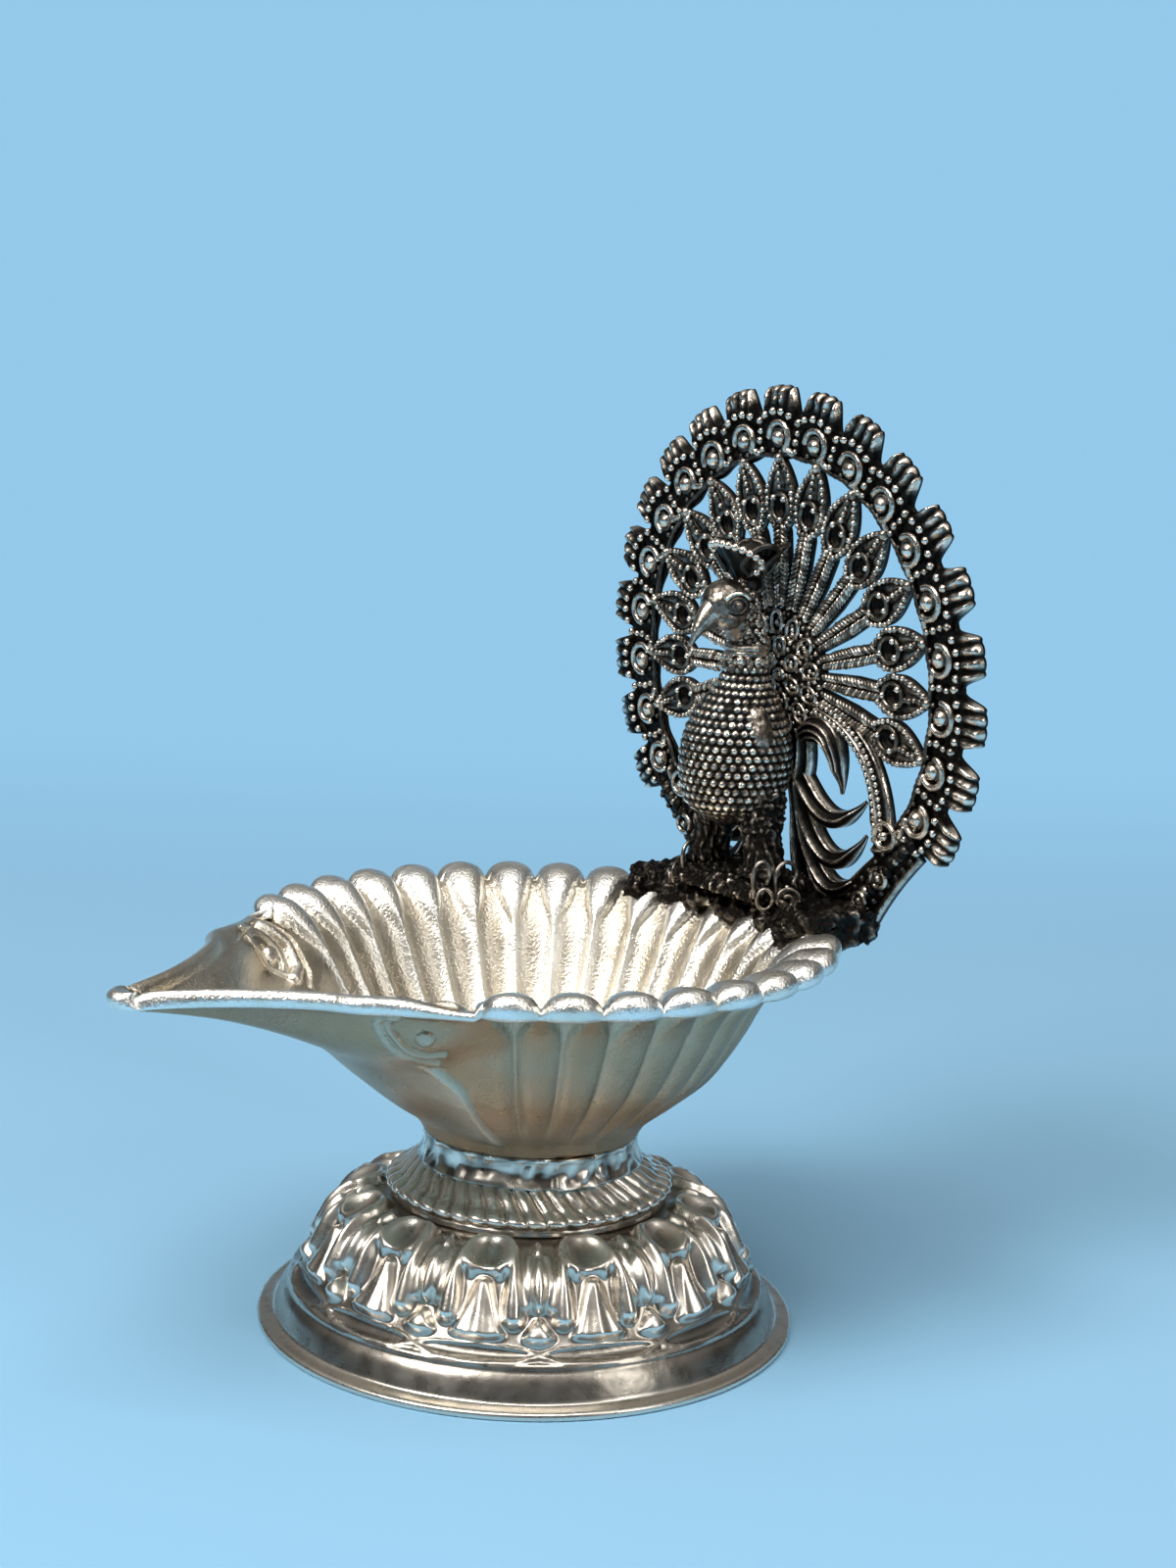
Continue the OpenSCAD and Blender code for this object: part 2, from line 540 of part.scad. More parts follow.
// Eye boss of each lobe, inside a raised wire ring
eye_place_r = (fan_inner_r + fan_valley_r) / 2;
boss_r = 0.9;
boss_ring_r = 1.9;
module ring_eyes() color(worn) on_fan() for (i = [0 : fan_lobe_count - 1])
    rotate(-(i + 0.5) * fan_lobe_pitch + ring_end) translate([0, eye_place_r])
    rotate_extrude($fn = 40) polygon([[0, 0], [boss_ring_r, 0], [boss_ring_r, wire_r],
        [boss_ring_r - wire_r, 2 * wire_r], [boss_ring_r - 2 * wire_r, wire_r],
        [boss_r, wire_r / 2], [boss_r * 0.7, boss_r], [0, boss_r * 1.3]]);

// Feathers: a stem and a drop-shaped head with a round recess
head_start_share = 0.68;
recess_share = 0.825;
recess_r = 1;
recess_deep = 0.7;
feather_tip_r = fan_inner_r - seat / 2;
stem_root_share = 0.68;
stem_wide_share = 0.6;
function feather_half(u) = pow(sin(180 * pow(u, 0.8)), 0.8);
module feather_outline(grow = 0) {
    n = 12;
    from = fan_inner_r * head_start_share;
    edge = [for (i = [1 : n - 1]) [grow + max(stem_w / 2 * (1 - i / n), feather_w / 2
        * feather_half(i / n)), mix(from, feather_tip_r, i / n)]];
    stem = [[stem_w * stem_root_share / 2 + grow, hub_r + seat / 2],
        [stem_w / 2 + grow, mix(hub_r, from, stem_wide_share)], [stem_w * 0.46 + grow, from]];
    right = concat(stem, edge);
    polygon(concat(right, [[0, feather_tip_r]], [for (p = reversed(right)) [-p[0], p[1]]]));
}
module feather() difference() {
    linear_extrude(fan_t) feather_outline();
    translate([0, fan_inner_r * recess_share, fan_t - recess_deep])
        cylinder(r = recess_r, h = recess_deep + over, $fn = 32);
}
function feather_turn(i) = (i - (feather_count - 1) / 2) * feather_angle;
module tail_feathers() color(dark) on_fan(-fan_t) for (i = [0 : feather_count - 1])
    rotate(feather_turn(i)) feather();

// Rosette: the hub of the fan, with a ring of beads and a tongue behind the body
bead_r = 0.8;
bead_count = 16;
tongue_w = 6.4;
tongue_l = 6;
module tail_rosette() color(dark) on_fan(-fan_t) {
    rotate_extrude() polygon([[0, 0], [hub_r, 0], [hub_r, fan_t], [hub_r * 0.66, fan_t],
        [hub_r * 0.6, fan_t + wire_r], [hub_r * 0.3, fan_t + 2 * wire_r], [0, fan_t + 2.4 * wire_r]]);
    for (i = [0 : bead_count - 1]) if (abs(i + 0.5 - bead_count / 2) > 1)
        rotate((i + 0.5) * 360 / bead_count) translate([0, hub_r - bead_r - seat, fan_t])
        sphere(bead_r, $fn = 24);
    linear_extrude(fan_t) hull() {
        translate([0, -hub_r / 2]) square([tongue_w, hub_r], center = true);
        translate([0, -hub_r - tongue_l + tongue_w / 2]) circle(d = tongue_w, $fn = 40);
    }
}

// Leaf: a solid that follows a curve on the fan, flat at the back and domed in front
leaf_steps = 8;
section_side_shares = [-0.5, -0.45, -0.2, 0.2, 0.45, 0.5];
section_rise_shares = [0, 0.55, 1, 1, 0.55, 0];
function bezier_way(p, t) = unit(bezier3(p, min(1, t + 0.01)) - bezier3(p, max(0, t - 0.01)));
function leaf_ring(p, w, t, u) = let (c = bezier3(p, u), d = bezier_way(p, u), wide = bezier3(w, u))
    [for (k = [5 : -1 : 0]) concat(c + [-d[1], d[0]] * wide * section_side_shares[k],
        [t * section_rise_shares[k] * (0.45 + 0.55 * min(1, wide / t))])];
module leaf(p, w, t) ring_stack([for (i = [0 : leaf_steps]) leaf_ring(p, w, t, i / leaf_steps)]);

// Arms: each side of the fan has a curved arm, a curled leaf and a branch to the bracket
arm_curve_shares = [[0.26, -0.135], [0.595, -0.2], [0.706, -0.417], [0.69, -0.718]];
branch_curve_shares = [[0.9, -0.68], [0.774, -0.793], [0.635, -0.913], [0.46, -1.13]];
curl_curve_shares = [[0.66, -0.74], [0.76, -0.74], [0.86, -0.68], [0.87, -0.56]];
arm_w = [1.8, 2.2, 2.8, 4];
branch_w = [4.6, 4.8, 5.6, 7.5];
curl_w = [3, 4.2, 4, 2.6];
arm_t = 1.9;
module arm() difference() {
    union() {
        leaf(arm_curve_shares * fan_inner_r, arm_w, arm_t);
        leaf(branch_curve_shares * fan_inner_r, branch_w, arm_t);
        leaf(curl_curve_shares * fan_inner_r, curl_w, arm_t);
    }
    ring_sector();
    translate([0, 0, -over]) cylinder(r = hub_r + seat / 2, h = arm_t + 2 * over);
    translate([0, 0, -over]) linear_extrude(arm_t + 2 * over)
        rotate(-feather_turn(feather_count - 1)) feather_outline(seat);
    translate([-fan_r, fan_level(bracket_z) + arm_t * sin(fan_lean) - fan_r, -over])
        cube([2 * fan_r, fan_r, arm_t + 2 * over]);
}
// Space that the ring and its last lobe take
module ring_sector() translate([0, 0, -over]) linear_extrude(arm_t + 2 * over) polygon(concat(
    [for (i = [0 : 8]) polar(fan_inner_r - seat / 2, ring_end * (i / 8 * 0.5 + 0.5))],
    [for (i = [8 : -1 : 0]) polar(fan_r + over, ring_end * (i / 8 * 0.5 + 0.5))]));
module tail_arms() color(dark) on_fan(-fan_t) for (side = [0, 1]) mirror([side, 0, 0]) arm();

// Plumes: acanthus sprays beside the body, in front of the openwork
plume_t = 2.6;
plume_back = 1.2;
root_curve_shares = [[0.17, -0.28], [0.19, -0.38], [0.15, -0.48], [0.13, -0.6]];
root_w = [2, 2.8, 2.8, 2];
crook_curve_shares = [[0.17, -0.31], [0.2, -0.2], [0.47, -0.18], [0.4, -0.53]];
hook_curve_shares = [[[0.12, -0.43], [0.22, -0.6], [0.38, -0.76], [0.57, -0.54]],
    [[0.14, -0.5], [0.2, -0.84], [0.42, -0.96], [0.57, -0.7]],
    [[0.15, -0.58], [0.2, -0.96], [0.4, -1.08], [0.54, -0.88]]];
long_curve_shares = [[0.09, -0.5], [0.18, -0.68], [0.08, -0.93], [0.28, -1.11]];
crook_w = [1.6, 4.6, 3.6, 1.2];
hook_w = [2.4, 3.6, 2.8, 0.5];
long_w = [1.8, 2.4, 3.2, 4.6];
module plume() difference() {
    on_fan(-plume_back) difference() {
        union() {
            leaf(crook_curve_shares * fan_inner_r, crook_w, plume_t);
            leaf(root_curve_shares * fan_inner_r, root_w, plume_t);
            for (curve = hook_curve_shares) leaf(curve * fan_inner_r, hook_w, plume_t);
            leaf(long_curve_shares * fan_inner_r, long_w, plume_t);
        }
        translate([0, 0, -over]) cylinder(r = hub_r + seat, h = plume_t + 2 * over);
        translate([0, 0, -over]) linear_extrude(plume_t + 2 * over) hull() {
            translate([0, -hub_r]) square([tongue_w + 2 * seat, seat], center = true);
            translate([0, -hub_r - tongue_l + tongue_w / 2]) circle(d = tongue_w + 2 * seat);
        }
    }
    body_form(seat);
    translate([-fan_r, 0, 0]) cube([2 * fan_r, 2 * fan_r, bracket_z]);
    translate([0, 0, bracket_z - over]) linear_extrude(mound_h + over) mound_outline(-seat);
    on_fan(-fan_t) for (limb = [[arm_curve_shares, arm_w], [branch_curve_shares, branch_w],
        [curl_curve_shares, curl_w]])
        leaf(limb[0] * fan_inner_r, limb[1] + [1, 1, 1, 1] * 2 * seat, arm_t + seat);
}
module plume_right() color(dark) plume();
module plume_left() color(dark) mirror([1, 0, 0]) plume();

foot_shell();
ribbed_shoulder();
neck_collar();
bowl_shell();
lip_bracket();
perch_mound();
base_scrolls();
legs();
body();
neck_ring();
head();
crest();
tail_ring();
ring_eyes();
tail_feathers();
tail_rosette();
tail_arms();
plume_right();
plume_left();
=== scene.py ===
import math

import bmesh
import bpy
import numpy as np
from mathutils import Matrix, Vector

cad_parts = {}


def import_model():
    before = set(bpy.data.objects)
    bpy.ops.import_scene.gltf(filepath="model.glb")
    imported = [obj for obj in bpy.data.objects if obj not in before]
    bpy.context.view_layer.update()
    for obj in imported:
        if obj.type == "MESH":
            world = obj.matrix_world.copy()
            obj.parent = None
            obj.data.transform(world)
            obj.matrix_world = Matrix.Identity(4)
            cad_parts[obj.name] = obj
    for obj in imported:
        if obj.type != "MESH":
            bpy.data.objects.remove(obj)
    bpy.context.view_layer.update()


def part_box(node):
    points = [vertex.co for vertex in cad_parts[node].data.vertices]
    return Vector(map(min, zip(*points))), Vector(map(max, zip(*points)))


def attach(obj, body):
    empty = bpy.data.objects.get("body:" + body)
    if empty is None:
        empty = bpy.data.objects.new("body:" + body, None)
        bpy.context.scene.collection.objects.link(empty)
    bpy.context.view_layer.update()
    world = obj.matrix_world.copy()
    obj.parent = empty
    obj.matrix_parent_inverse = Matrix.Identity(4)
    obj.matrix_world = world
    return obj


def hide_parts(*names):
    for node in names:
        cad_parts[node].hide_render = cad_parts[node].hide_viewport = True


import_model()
bpy.context.scene.view_settings.view_transform = "Standard"

MM = 0.001
UP = np.array([0.0, 0.0, 1.0])
FULL = 2 * np.pi


def box_mm(node):
    low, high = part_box(node)
    return np.array(low) / MM, np.array(high) / MM


# Small maths

def smooth(k):
    k = np.clip(k, 0, 1)
    return k * k * (3 - 2 * k)


def mix(a, b, k):
    return a * (1 - k) + b * k


def hill(x):
    return np.clip(1 - np.square(x), 0, 1)


def dome(x):
    return np.sqrt(hill(x))


def unit(v):
    return v / np.maximum(np.linalg.norm(v, axis=-1, keepdims=True), 1e-9)


def bezier(p, t):
    p, t = np.asarray(p, float), np.asarray(t, float)
    b = np.stack([(1 - t) ** 3, 3 * t * (1 - t) ** 2, 3 * t * t * (1 - t), t ** 3], -1)
    return b @ p


def pchip(x, y, q):
    """Smooth curve through the points that never overshoots them."""
    x, y, q = np.asarray(x, float), np.asarray(y, float), np.asarray(q, float)
    h, d = np.diff(x), np.diff(y) / np.diff(x)
    m = np.zeros_like(y)
    w1, w2 = 2 * h[1:] + h[:-1], h[1:] + 2 * h[:-1]
    with np.errstate(divide="ignore", invalid="ignore"):
        inner = (w1 + w2) / (w1 / d[:-1] + w2 / d[1:])
    m[1:-1] = np.where(d[:-1] * d[1:] > 0, inner, 0)
    m[0], m[-1] = d[0], d[-1]
    i = np.clip(np.searchsorted(x, q) - 1, 0, len(h) - 1)
    t = (q - x[i]) / h[i]
    return (y[i] * (1 + 2 * t) * (1 - t) ** 2 + m[i] * h[i] * t * (1 - t) ** 2
            + y[i + 1] * t * t * (3 - 2 * t) + m[i + 1] * h[i] * t * t * (t - 1))


def run_of(line):
    """Distance along a line at each of its points."""
    return np.r_[0, np.cumsum(np.linalg.norm(np.diff(line, axis=0), axis=1))]


def along(line, step):
    """Points of a smooth line through the given ones, at about the given step."""
    line = np.asarray(line, float)
    run = run_of(line)
    q = np.linspace(0, run[-1], max(2, int(run[-1] / step) + 1))
    return np.stack([pchip(run, axis, q) for axis in line.T], 1)


def spaced(line, first, pitch):
    """Points a pitch apart along a line, from the first distance on."""
    run = run_of(line)
    q = np.arange(first, run[-1], pitch)
    return np.stack([np.interp(q, run, axis) for axis in line.T], 1)


def lumps(points, size, seed):
    """Uneven field between about -1 and 1, the same each run."""
    rng, waves = np.random.default_rng(seed), 14
    ways = unit(rng.normal(size=(waves, 3))) * rng.uniform(0.6, 1.7, (waves, 1)) * FULL / size
    return np.sin(points @ ways.T + rng.uniform(0, FULL, waves)).sum(-1) / math.sqrt(waves)


# Mesh building

def unit_ball(level):
    bm = bmesh.new()
    bmesh.ops.create_icosphere(bm, subdivisions=level, radius=1)
    v = np.array([x.co for x in bm.verts])
    f = np.array([[x.index for x in face.verts] for face in bm.faces])
    bm.free()
    return v, f


BALLS = {level: unit_ball(level) for level in (1, 2, 3)}


def grid_faces(rows, cols, round_u, round_v):
    r, c = np.meshgrid(np.arange(rows if round_v else rows - 1),
                       np.arange(cols if round_u else cols - 1), indexing="ij")
    r2, c2 = (r + 1) % rows, (c + 1) % cols
    return np.stack([r * cols + c, r * cols + c2, r2 * cols + c2, r2 * cols + c], -1).reshape(-1, 4)


class Shape:
    """Closed shells gathered into one mesh, each vertex with a tone value from 0, dark, to 1, light: on the
    castings it is oxide in recesses and rubbed high spots, on the pressed and polished sheet it is painted
    shade and painted highlight."""

    def __init__(self):
        self.shells = []

    def add(self, v, quads=None, tris=None, wear_and_painted_light=0.5):
        """One closed shell, its faces turned outward."""
        v = np.asarray(v, float).reshape(-1, 3)
        quads = np.zeros((0, 4), int) if quads is None else quads
        tris = np.zeros((0, 3), int) if tris is None else tris
        split = np.concatenate([tris, quads[:, [0, 1, 2]], quads[:, [0, 2, 3]]])
        c = v - v.mean(0)
        if np.einsum("ij,ij->", c[split[:, 0]], np.cross(c[split[:, 1]], c[split[:, 2]])) < 0:
            quads, tris = quads[:, ::-1], tris[:, ::-1]
        wear_and_painted_light = np.broadcast_to(np.asarray(wear_and_painted_light, float).reshape(-1), (len(v),))
        self.shells.append((v, wear_and_painted_light, quads, tris))
        return self

    def merge(self, other, move):
        for v, wear_and_painted_light, quads, tris in other.shells:
            self.add(move(v), quads, tris, wear_and_painted_light)
        return self

    def joined(self):
        """Vertices, wear, quads and triangles of all the shells together."""
        v, wear_and_painted_light, quads, tris = zip(*self.shells)
        first = np.cumsum([0] + [len(x) for x in v])
        return (np.concatenate(v), np.concatenate(wear_and_painted_light),
                *(np.concatenate([x + n for x, n in zip(faces, first)]) for faces in (quads, tris)))

    def grid(self, p, wear_and_painted_light=0.5, ring=False):
        """Rows of points, each a closed loop; a ring joins its last row to the first, or both are capped."""
        rows, cols = p.shape[:2]
        wear_and_painted_light = np.broadcast_to(np.asarray(wear_and_painted_light, float), (rows, cols)).reshape(-1)
        v, tris = p.reshape(-1, 3), None
        if not ring:
            wear_and_painted_light = np.r_[wear_and_painted_light, wear_and_painted_light[:cols].mean(), wear_and_painted_light[-cols:].mean()]
            k, last, end = np.arange(cols), (rows - 1) * cols, np.full(cols, rows * cols)
            k2 = (k + 1) % cols
            v = np.concatenate([v, [p[0].mean(0), p[-1].mean(0)]])
            tris = np.concatenate([np.stack([end, k2, k], 1), np.stack([end + 1, last + k, last + k2], 1)])
        return self.add(v, grid_faces(rows, cols, True, ring), tris, wear_and_painted_light)

    def tube(self, path, radius, sides=8, wear_and_painted_light=0.8, closed=False):
        """Round wire along a path, with blunt tips where it isn't closed."""
        path = np.asarray(path, float)
        d = unit(np.roll(path, -1, 0) - np.roll(path, 1, 0) if closed else np.gradient(path, axis=0))
        radius = np.broadcast_to(np.asarray(radius, float), (len(path),))
        side = np.cross(d[0], UP if abs(d[0] @ UP) < 0.9 else [1.0, 0, 0])
        a = []
        for way in d:
            side = unit(side - way * (side @ way))
            a.append(side)
        a = np.array(a)[:, None]
        t = np.linspace(0, FULL, sides, endpoint=False)[:, None]
        ring = a * np.cos(t) + np.cross(d, a[:, 0])[:, None] * np.sin(t)
        p = path[:, None] + ring * radius[:, None, None]
        if not closed:
            low, high = path[0] - d[0] * radius[0] * 0.6, path[-1] + d[-1] * radius[-1] * 0.6
            p = np.concatenate([low + (p[:1] - path[0]) * 0.5, p, high + (p[-1:] - path[-1]) * 0.5])
        return self.grid(p, wear_and_painted_light, closed)

    def balls(self, centres, radii, frames=None, wear_and_painted_light=1.0, level=1):
        """Many balls at once, or eggs where radii has three columns; frames has their axes as rows."""
        centres = np.asarray(centres, float).reshape(-1, 3)
        n, radii = len(centres), np.asarray(radii, float)
        radii = np.broadcast_to(radii if radii.ndim == 2 else radii.reshape(-1, 1), (n, 3))
        bv, bf = BALLS[level]
        p = bv[None] * radii[:, None]
        if frames is not None:
            p = p @ frames
        f = bf[None] + (np.arange(n) * len(bv))[:, None, None]
        wear_and_painted_light = np.repeat(np.broadcast_to(np.asarray(wear_and_painted_light, float), (n,)), len(bv))
        return self.add(p + centres[:, None], None, f.reshape(-1, 3), wear_and_painted_light)


def piece(shape, name, material, slot, *nodes):
    """Object from a shape; it rides on the only body and stands for the CAD nodes."""
    v, wear_and_painted_light, quads, tris = shape.joined()
    loops = np.concatenate([quads.reshape(-1), tris.reshape(-1)]).astype(np.int32)
    starts = np.concatenate([np.arange(len(quads)) * 4, len(quads) * 4 + np.arange(len(tris)) * 3])
    me = bpy.data.meshes.new(name)
    me.vertices.add(len(v))
    me.vertices.foreach_set("co", (v * MM).reshape(-1))
    me.loops.add(len(loops))
    me.loops.foreach_set("vertex_index", loops)
    me.polygons.add(len(starts))
    me.polygons.foreach_set("loop_start", starts.astype(np.int32))
    me.update(calc_edges=True)
    me.polygons.foreach_set("use_smooth", np.ones(len(starts), bool))
    me.attributes.new("wear_and_painted_light", "FLOAT", "POINT").data.foreach_set("value", wear_and_painted_light.astype(np.float32))
    me.validate()
    me.materials.append(material)
    obj = linked(name, me)
    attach(obj, "root")
    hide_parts(*nodes)


def linked(name, data):
    obj = bpy.data.objects.new(name, data)
    bpy.context.scene.collection.objects.link(obj)
    return obj


def draft(shape):
    """Scratch object of a shape, to be remeshed or cut with."""
    v, _, quads, tris = shape.joined()
    me = bpy.data.meshes.new("draft")
    me.from_pydata(v.tolist(), [], tris.tolist() + quads.tolist())
    return linked("draft", me)


def remeshed(shape, voxel, rounds, cutter=None):
    """One smooth skin over overlapping shells, less what a cutter takes away."""
    drafts = [draft(shape)]
    if cutter:
        drafts.append(draft(cutter))
        cut = drafts[0].modifiers.new("cut", "BOOLEAN")
        cut.operation, cut.object, cut.solver = "DIFFERENCE", drafts[1], "EXACT"
    skin = drafts[0].modifiers.new("skin", "REMESH")
    skin.mode, skin.voxel_size = "VOXEL", voxel
    ease = drafts[0].modifiers.new("ease", "SMOOTH")
    ease.factor, ease.iterations = 0.5, rounds
    done = drafts[0].evaluated_get(bpy.context.evaluated_depsgraph_get()).to_mesh()
    v = np.zeros(len(done.vertices) * 3)
    done.vertices.foreach_get("co", v)
    f = np.array([list(p.vertices) for p in done.polygons])
    for obj in drafts:
        bpy.data.objects.remove(obj)
    return v.reshape(-1, 3), f


def neighbour_mean(value, f):
    """Mean of a value over each vertex's neighbours along the edges of quads."""
    total, hits = np.zeros_like(value), np.zeros(len(value))
    for a, b in ((0, 1), (1, 2), (2, 3), (3, 0)):
        for i, j in ((f[:, a], f[:, b]), (f[:, b], f[:, a])):
            np.add.at(total, i, value[j])
            np.add.at(hits, i, 1)
    return (total.T / hits).T


def recess_wear(v, f, low, gain):
    """Wear from how far each vertex stands out from its neighbours, and the vertex normals."""
    n, face_n = np.zeros_like(v), np.cross(v[f[:, 2]] - v[f[:, 0]], v[f[:, 3]] - v[f[:, 1]])
    for a in range(4):
        np.add.at(n, f[:, a], face_n)
    n = unit(n)
    bulge = ((v - neighbour_mean(v, f)) * n).sum(1)
    for _ in range(6):
        bulge = mix(bulge, neighbour_mean(bulge, f), 0.5)
    return np.clip(low + gain * bulge, 0, 1), n


# Sizes

SHEET = 0.9
FOOT_R, _, DOME_H = box_mm("foot_shell")[1]
TIER_R, _, TIER_TOP = box_mm("ribbed_shoulder")[1]
_, REACH, BOWL_Z = box_mm("bowl_shell")[0] * [1, -1, 1]
RIM_R, BOWL_H = 34.5, 21.2


def revolved(profile, turns):
    """Rows of points: each (radius, height) of the profile at each angle."""
    return np.stack([profile[:, None, 0] * np.cos(turns), profile[:, None, 0] * np.sin(turns),
                     np.broadcast_to(profile[:, None, 1], (len(profile), len(turns)))], -1)


def normals_2d(line):
    d = unit(np.gradient(line, axis=0))
    return np.stack([d[:, 1], -d[:, 0]], 1)


# Foot, ribbed tier and collar

# petals round the dome, the angle of one of them in degrees, and the width in which its relief is drawn
PETALS, PETAL_TURN, PETAL_W = 12, 13.8, 12.6
PETAL_FOOT_Z = 6.2
DISH_AT = 9.7


def capsule(x, y, a, b):
    """Distance from a stroke, and the share of the way along it."""
    a, b = np.array(a, float), np.array(b, float)
    d = b - a
    t = np.clip(((x - a[0]) * d[0] + (y - a[1]) * d[1]) / (d @ d), 0, 1)
    return np.hypot(x - a[0] - t * d[0], y - a[1] - t * d[1]), t


def petal_height(x, y):
    """Chased relief round one petal: x across, y up the dome from the petal's foot.
    ax is the distance from its middle line, edge from the line between two petals."""
    ax = np.abs(x)
    edge = PETAL_W / 2 - ax
    d = np.hypot(x / 1.12, y - DISH_AT)
    arch = 1.25 * dome((d - 2.7) / 0.85) * smooth((y - 7.0) / 0.9)
    dish = (0.05 + 0.75 * np.square(d / 2.1)) * smooth((2.25 - d) / 0.3)
    curl = 0.95 * dome(np.hypot(ax - 1.75, y - 7.5) / 0.75)
    half = np.interp(y, [0, 0.5, 2, 4, 6, 6.9], [3.15, 3.05, 2.4, 1.6, 0.95, 0.75])
    hem = 0.6 * np.square(x / 3.15)
    flutes = 0.86 + 0.14 * np.cos(FULL * x / np.maximum(half * 0.85, 0.1))
    bell = 1.35 * dome(np.clip(ax / half, 0, 1) ** 1.5) * flutes
    bell = bell * smooth((y - hem) / 0.5) * smooth(7.2 - y) * mix(0.8, 1, smooth((5 - y) / 4))
    d, t = capsule(ax, y, (3.45, 9.2), (3.6, 2.7))
    leaf = 1.55 * dome(d / (0.5 + 0.68 * smooth(t * 1.15)))
    d, t = capsule(edge, y, (0, 3.9), (0, 8.2))
    spike = 1.5 * dome(d / (0.55 + 0.5 * np.sin(np.pi * t) ** 0.8))
    slip = 0.75 * dome(capsule(edge, y, (1.45, 4.0), (1.15, 9.4))[0] / 0.62)
    hook = dome(capsule(edge, y, (0, 10.0), (0, 11.3))[0] / 0.66)
    bead = 0.95 * dome(np.hypot(edge, y - 8.95) / 0.55)
    wide = np.interp(y, [-0.6, 0.5, 2.9], [0.6, 1.75, 0.5])
    drop = 1.35 * dome(np.hypot(edge / wide, (y - 1.0) / 1.9))
    return np.maximum.reduce(np.broadcast_arrays(arch, dish, curl, bell, leaf, spike, slip, hook, bead, drop))


def blurred(h, rounds):
    """Height field with its sharp creases rolled over, as pressed sheet has them."""
    for _ in range(rounds):
        h = (np.roll(h, 1, 1) + np.roll(h, -1, 1) + 2 * h) / 4
        h[1:-1] = (h[:-2] + h[2:] + 2 * h[1:-1]) / 4
    return h


def foot_profile():
    """Outline from under the brim, over the band and up the dome."""
    shoulder = [26.75, 5.1]
    brim = [[FOOT_R - 2.6, 0.0], [FOOT_R - 0.3, 0.0], [FOOT_R - 0.05, 0.14], [FOOT_R, 0.42],
            [FOOT_R - 0.08, 0.74], [FOOT_R - 0.35, 0.9], [FOOT_R - 1.2, 0.94], [FOOT_R - 1.9, 1.1],
            [FOOT_R - 2.12, 1.6], [28.6, 2.3], [28.1, 3.4], [27.3, 4.4], shoulder]
    rise = [shoulder, [26.1, 5.6], [25.3, 6.4], [24.0, 8.3], [23.1, 10.1], [22.2, 11.7], [20.9, 13.0],
            [18.9, 14.0], [TIER_R + 0.6, DOME_H - 0.15], [TIER_R - 2.2, DOME_H - 0.05]]
    return np.concatenate([along(brim, 0.22)[:-1], along(rise, 0.125)])


def foot():
    """Pressed foot: flat brim, smooth band with a scoop under each petal, and a chased dome."""
    line = foot_profile()
    turns = np.linspace(0, FULL, 1008, endpoint=False)
    run = run_of(line)
    y = (run - np.interp(PETAL_FOOT_Z, line[:, 1], run))[:, None]
    each = 360 / PETALS
    x = (((np.degrees(turns) - (PETAL_TURN - 90) + each / 2) % each - each / 2) / each * PETAL_W)[None]
    h = blurred(petal_height(x, y) * smooth((y + 0.5) / 0.6) * smooth((12.9 - y) / 0.8), 6)
    lens = np.hypot(x / 5.7, y + 1.2)
    lip, ledge = 0.2 * dome((lens - 1.04) / 0.14), 0.24 * dome((y + 2.45) / 0.4)
    p, n = revolved(line, turns), revolved(normals_2d(line), turns)
    worn = 0.012 * lumps(p, 4.5, 5) + 0.004 * lumps(p, 1.6, 6)
    relief = np.maximum(h, lip) - 0.42 * hill(lens) + ledge + worn * smooth(p[..., 2] / 2)
    # painted light: the raised relief is painted lighter as highlight, the recesses darker as shade, and the
    # low brim lighter as a painted highlight
    wear_and_painted_light = np.clip(0.3 + 0.5 * relief + 0.35 * smooth((1.6 - p[..., 2]) / 0.6), 0, 1)
    inner = along(line, 0.7)
    inner = inner[inner[:, 1] > 0.5]
    back = revolved((inner - SHEET * normals_2d(inner))[:7:-1], turns)
    return Shape().grid(np.concatenate([p + n * relief[..., None], back]),
                        np.concatenate([wear_and_painted_light, np.full(back.shape[:2], 0.3)]), True)


RIBS, RIB_LOW, RIB_HIGH, RIB_SLANT = 44, 15.75, 19.3, 0.055


def tier():
    """Flared tube under the bowl, its slanted ribs rounded at their lower ends."""
    rise = [[TIER_R, DOME_H + 0.05], [TIER_R - 0.08, DOME_H + 0.4], [TIER_R - 0.5, 15.55], [16.1, 16.1],
            [14.6, 16.9], [13.5, 17.9], [12.6, 18.7], [12.0, 19.6], [11.7, 20.8], [11.65, TIER_TOP]]
    inner = [[10.7, TIER_TOP], [10.7, 20.2], [11.6, 18.6], [12.9, 17.4], [13.6, 16], [13.7, DOME_H + 0.05]]
    line = along(rise, 0.13)
    turns = np.linspace(0, FULL, RIBS * 18, endpoint=False)
    z = line[:, 1][:, None]
    x = 2 * (((turns + RIB_SLANT * (z - 15.5)) * RIBS / FULL) % 1) - 1
    y = np.clip(np.minimum((z - RIB_LOW) / 0.75, (RIB_HIGH - z) / 1.6), 0, 1)
    rib, welt = 0.52 * dome(x) ** 1.1 * dome(1 - y), 0.1 * dome((z - 15.3) / 0.3)
    p, n = revolved(line, turns), revolved(normals_2d(line), turns)
    relief = np.maximum(rib, welt) + 0.03 * lumps(p, 2.2, 8)
    back = revolved(along(inner, 0.6), turns)
    # painted light: the ribs are painted lighter as highlight, the hollows between them and the inner face
    # darker as shade
    return Shape().grid(np.concatenate([p + n * relief[..., None], back]), np.concatenate(
        [np.clip(0.3 + 1.3 * relief, 0, 1), np.full(back.shape[:2], 0.2)]), True)


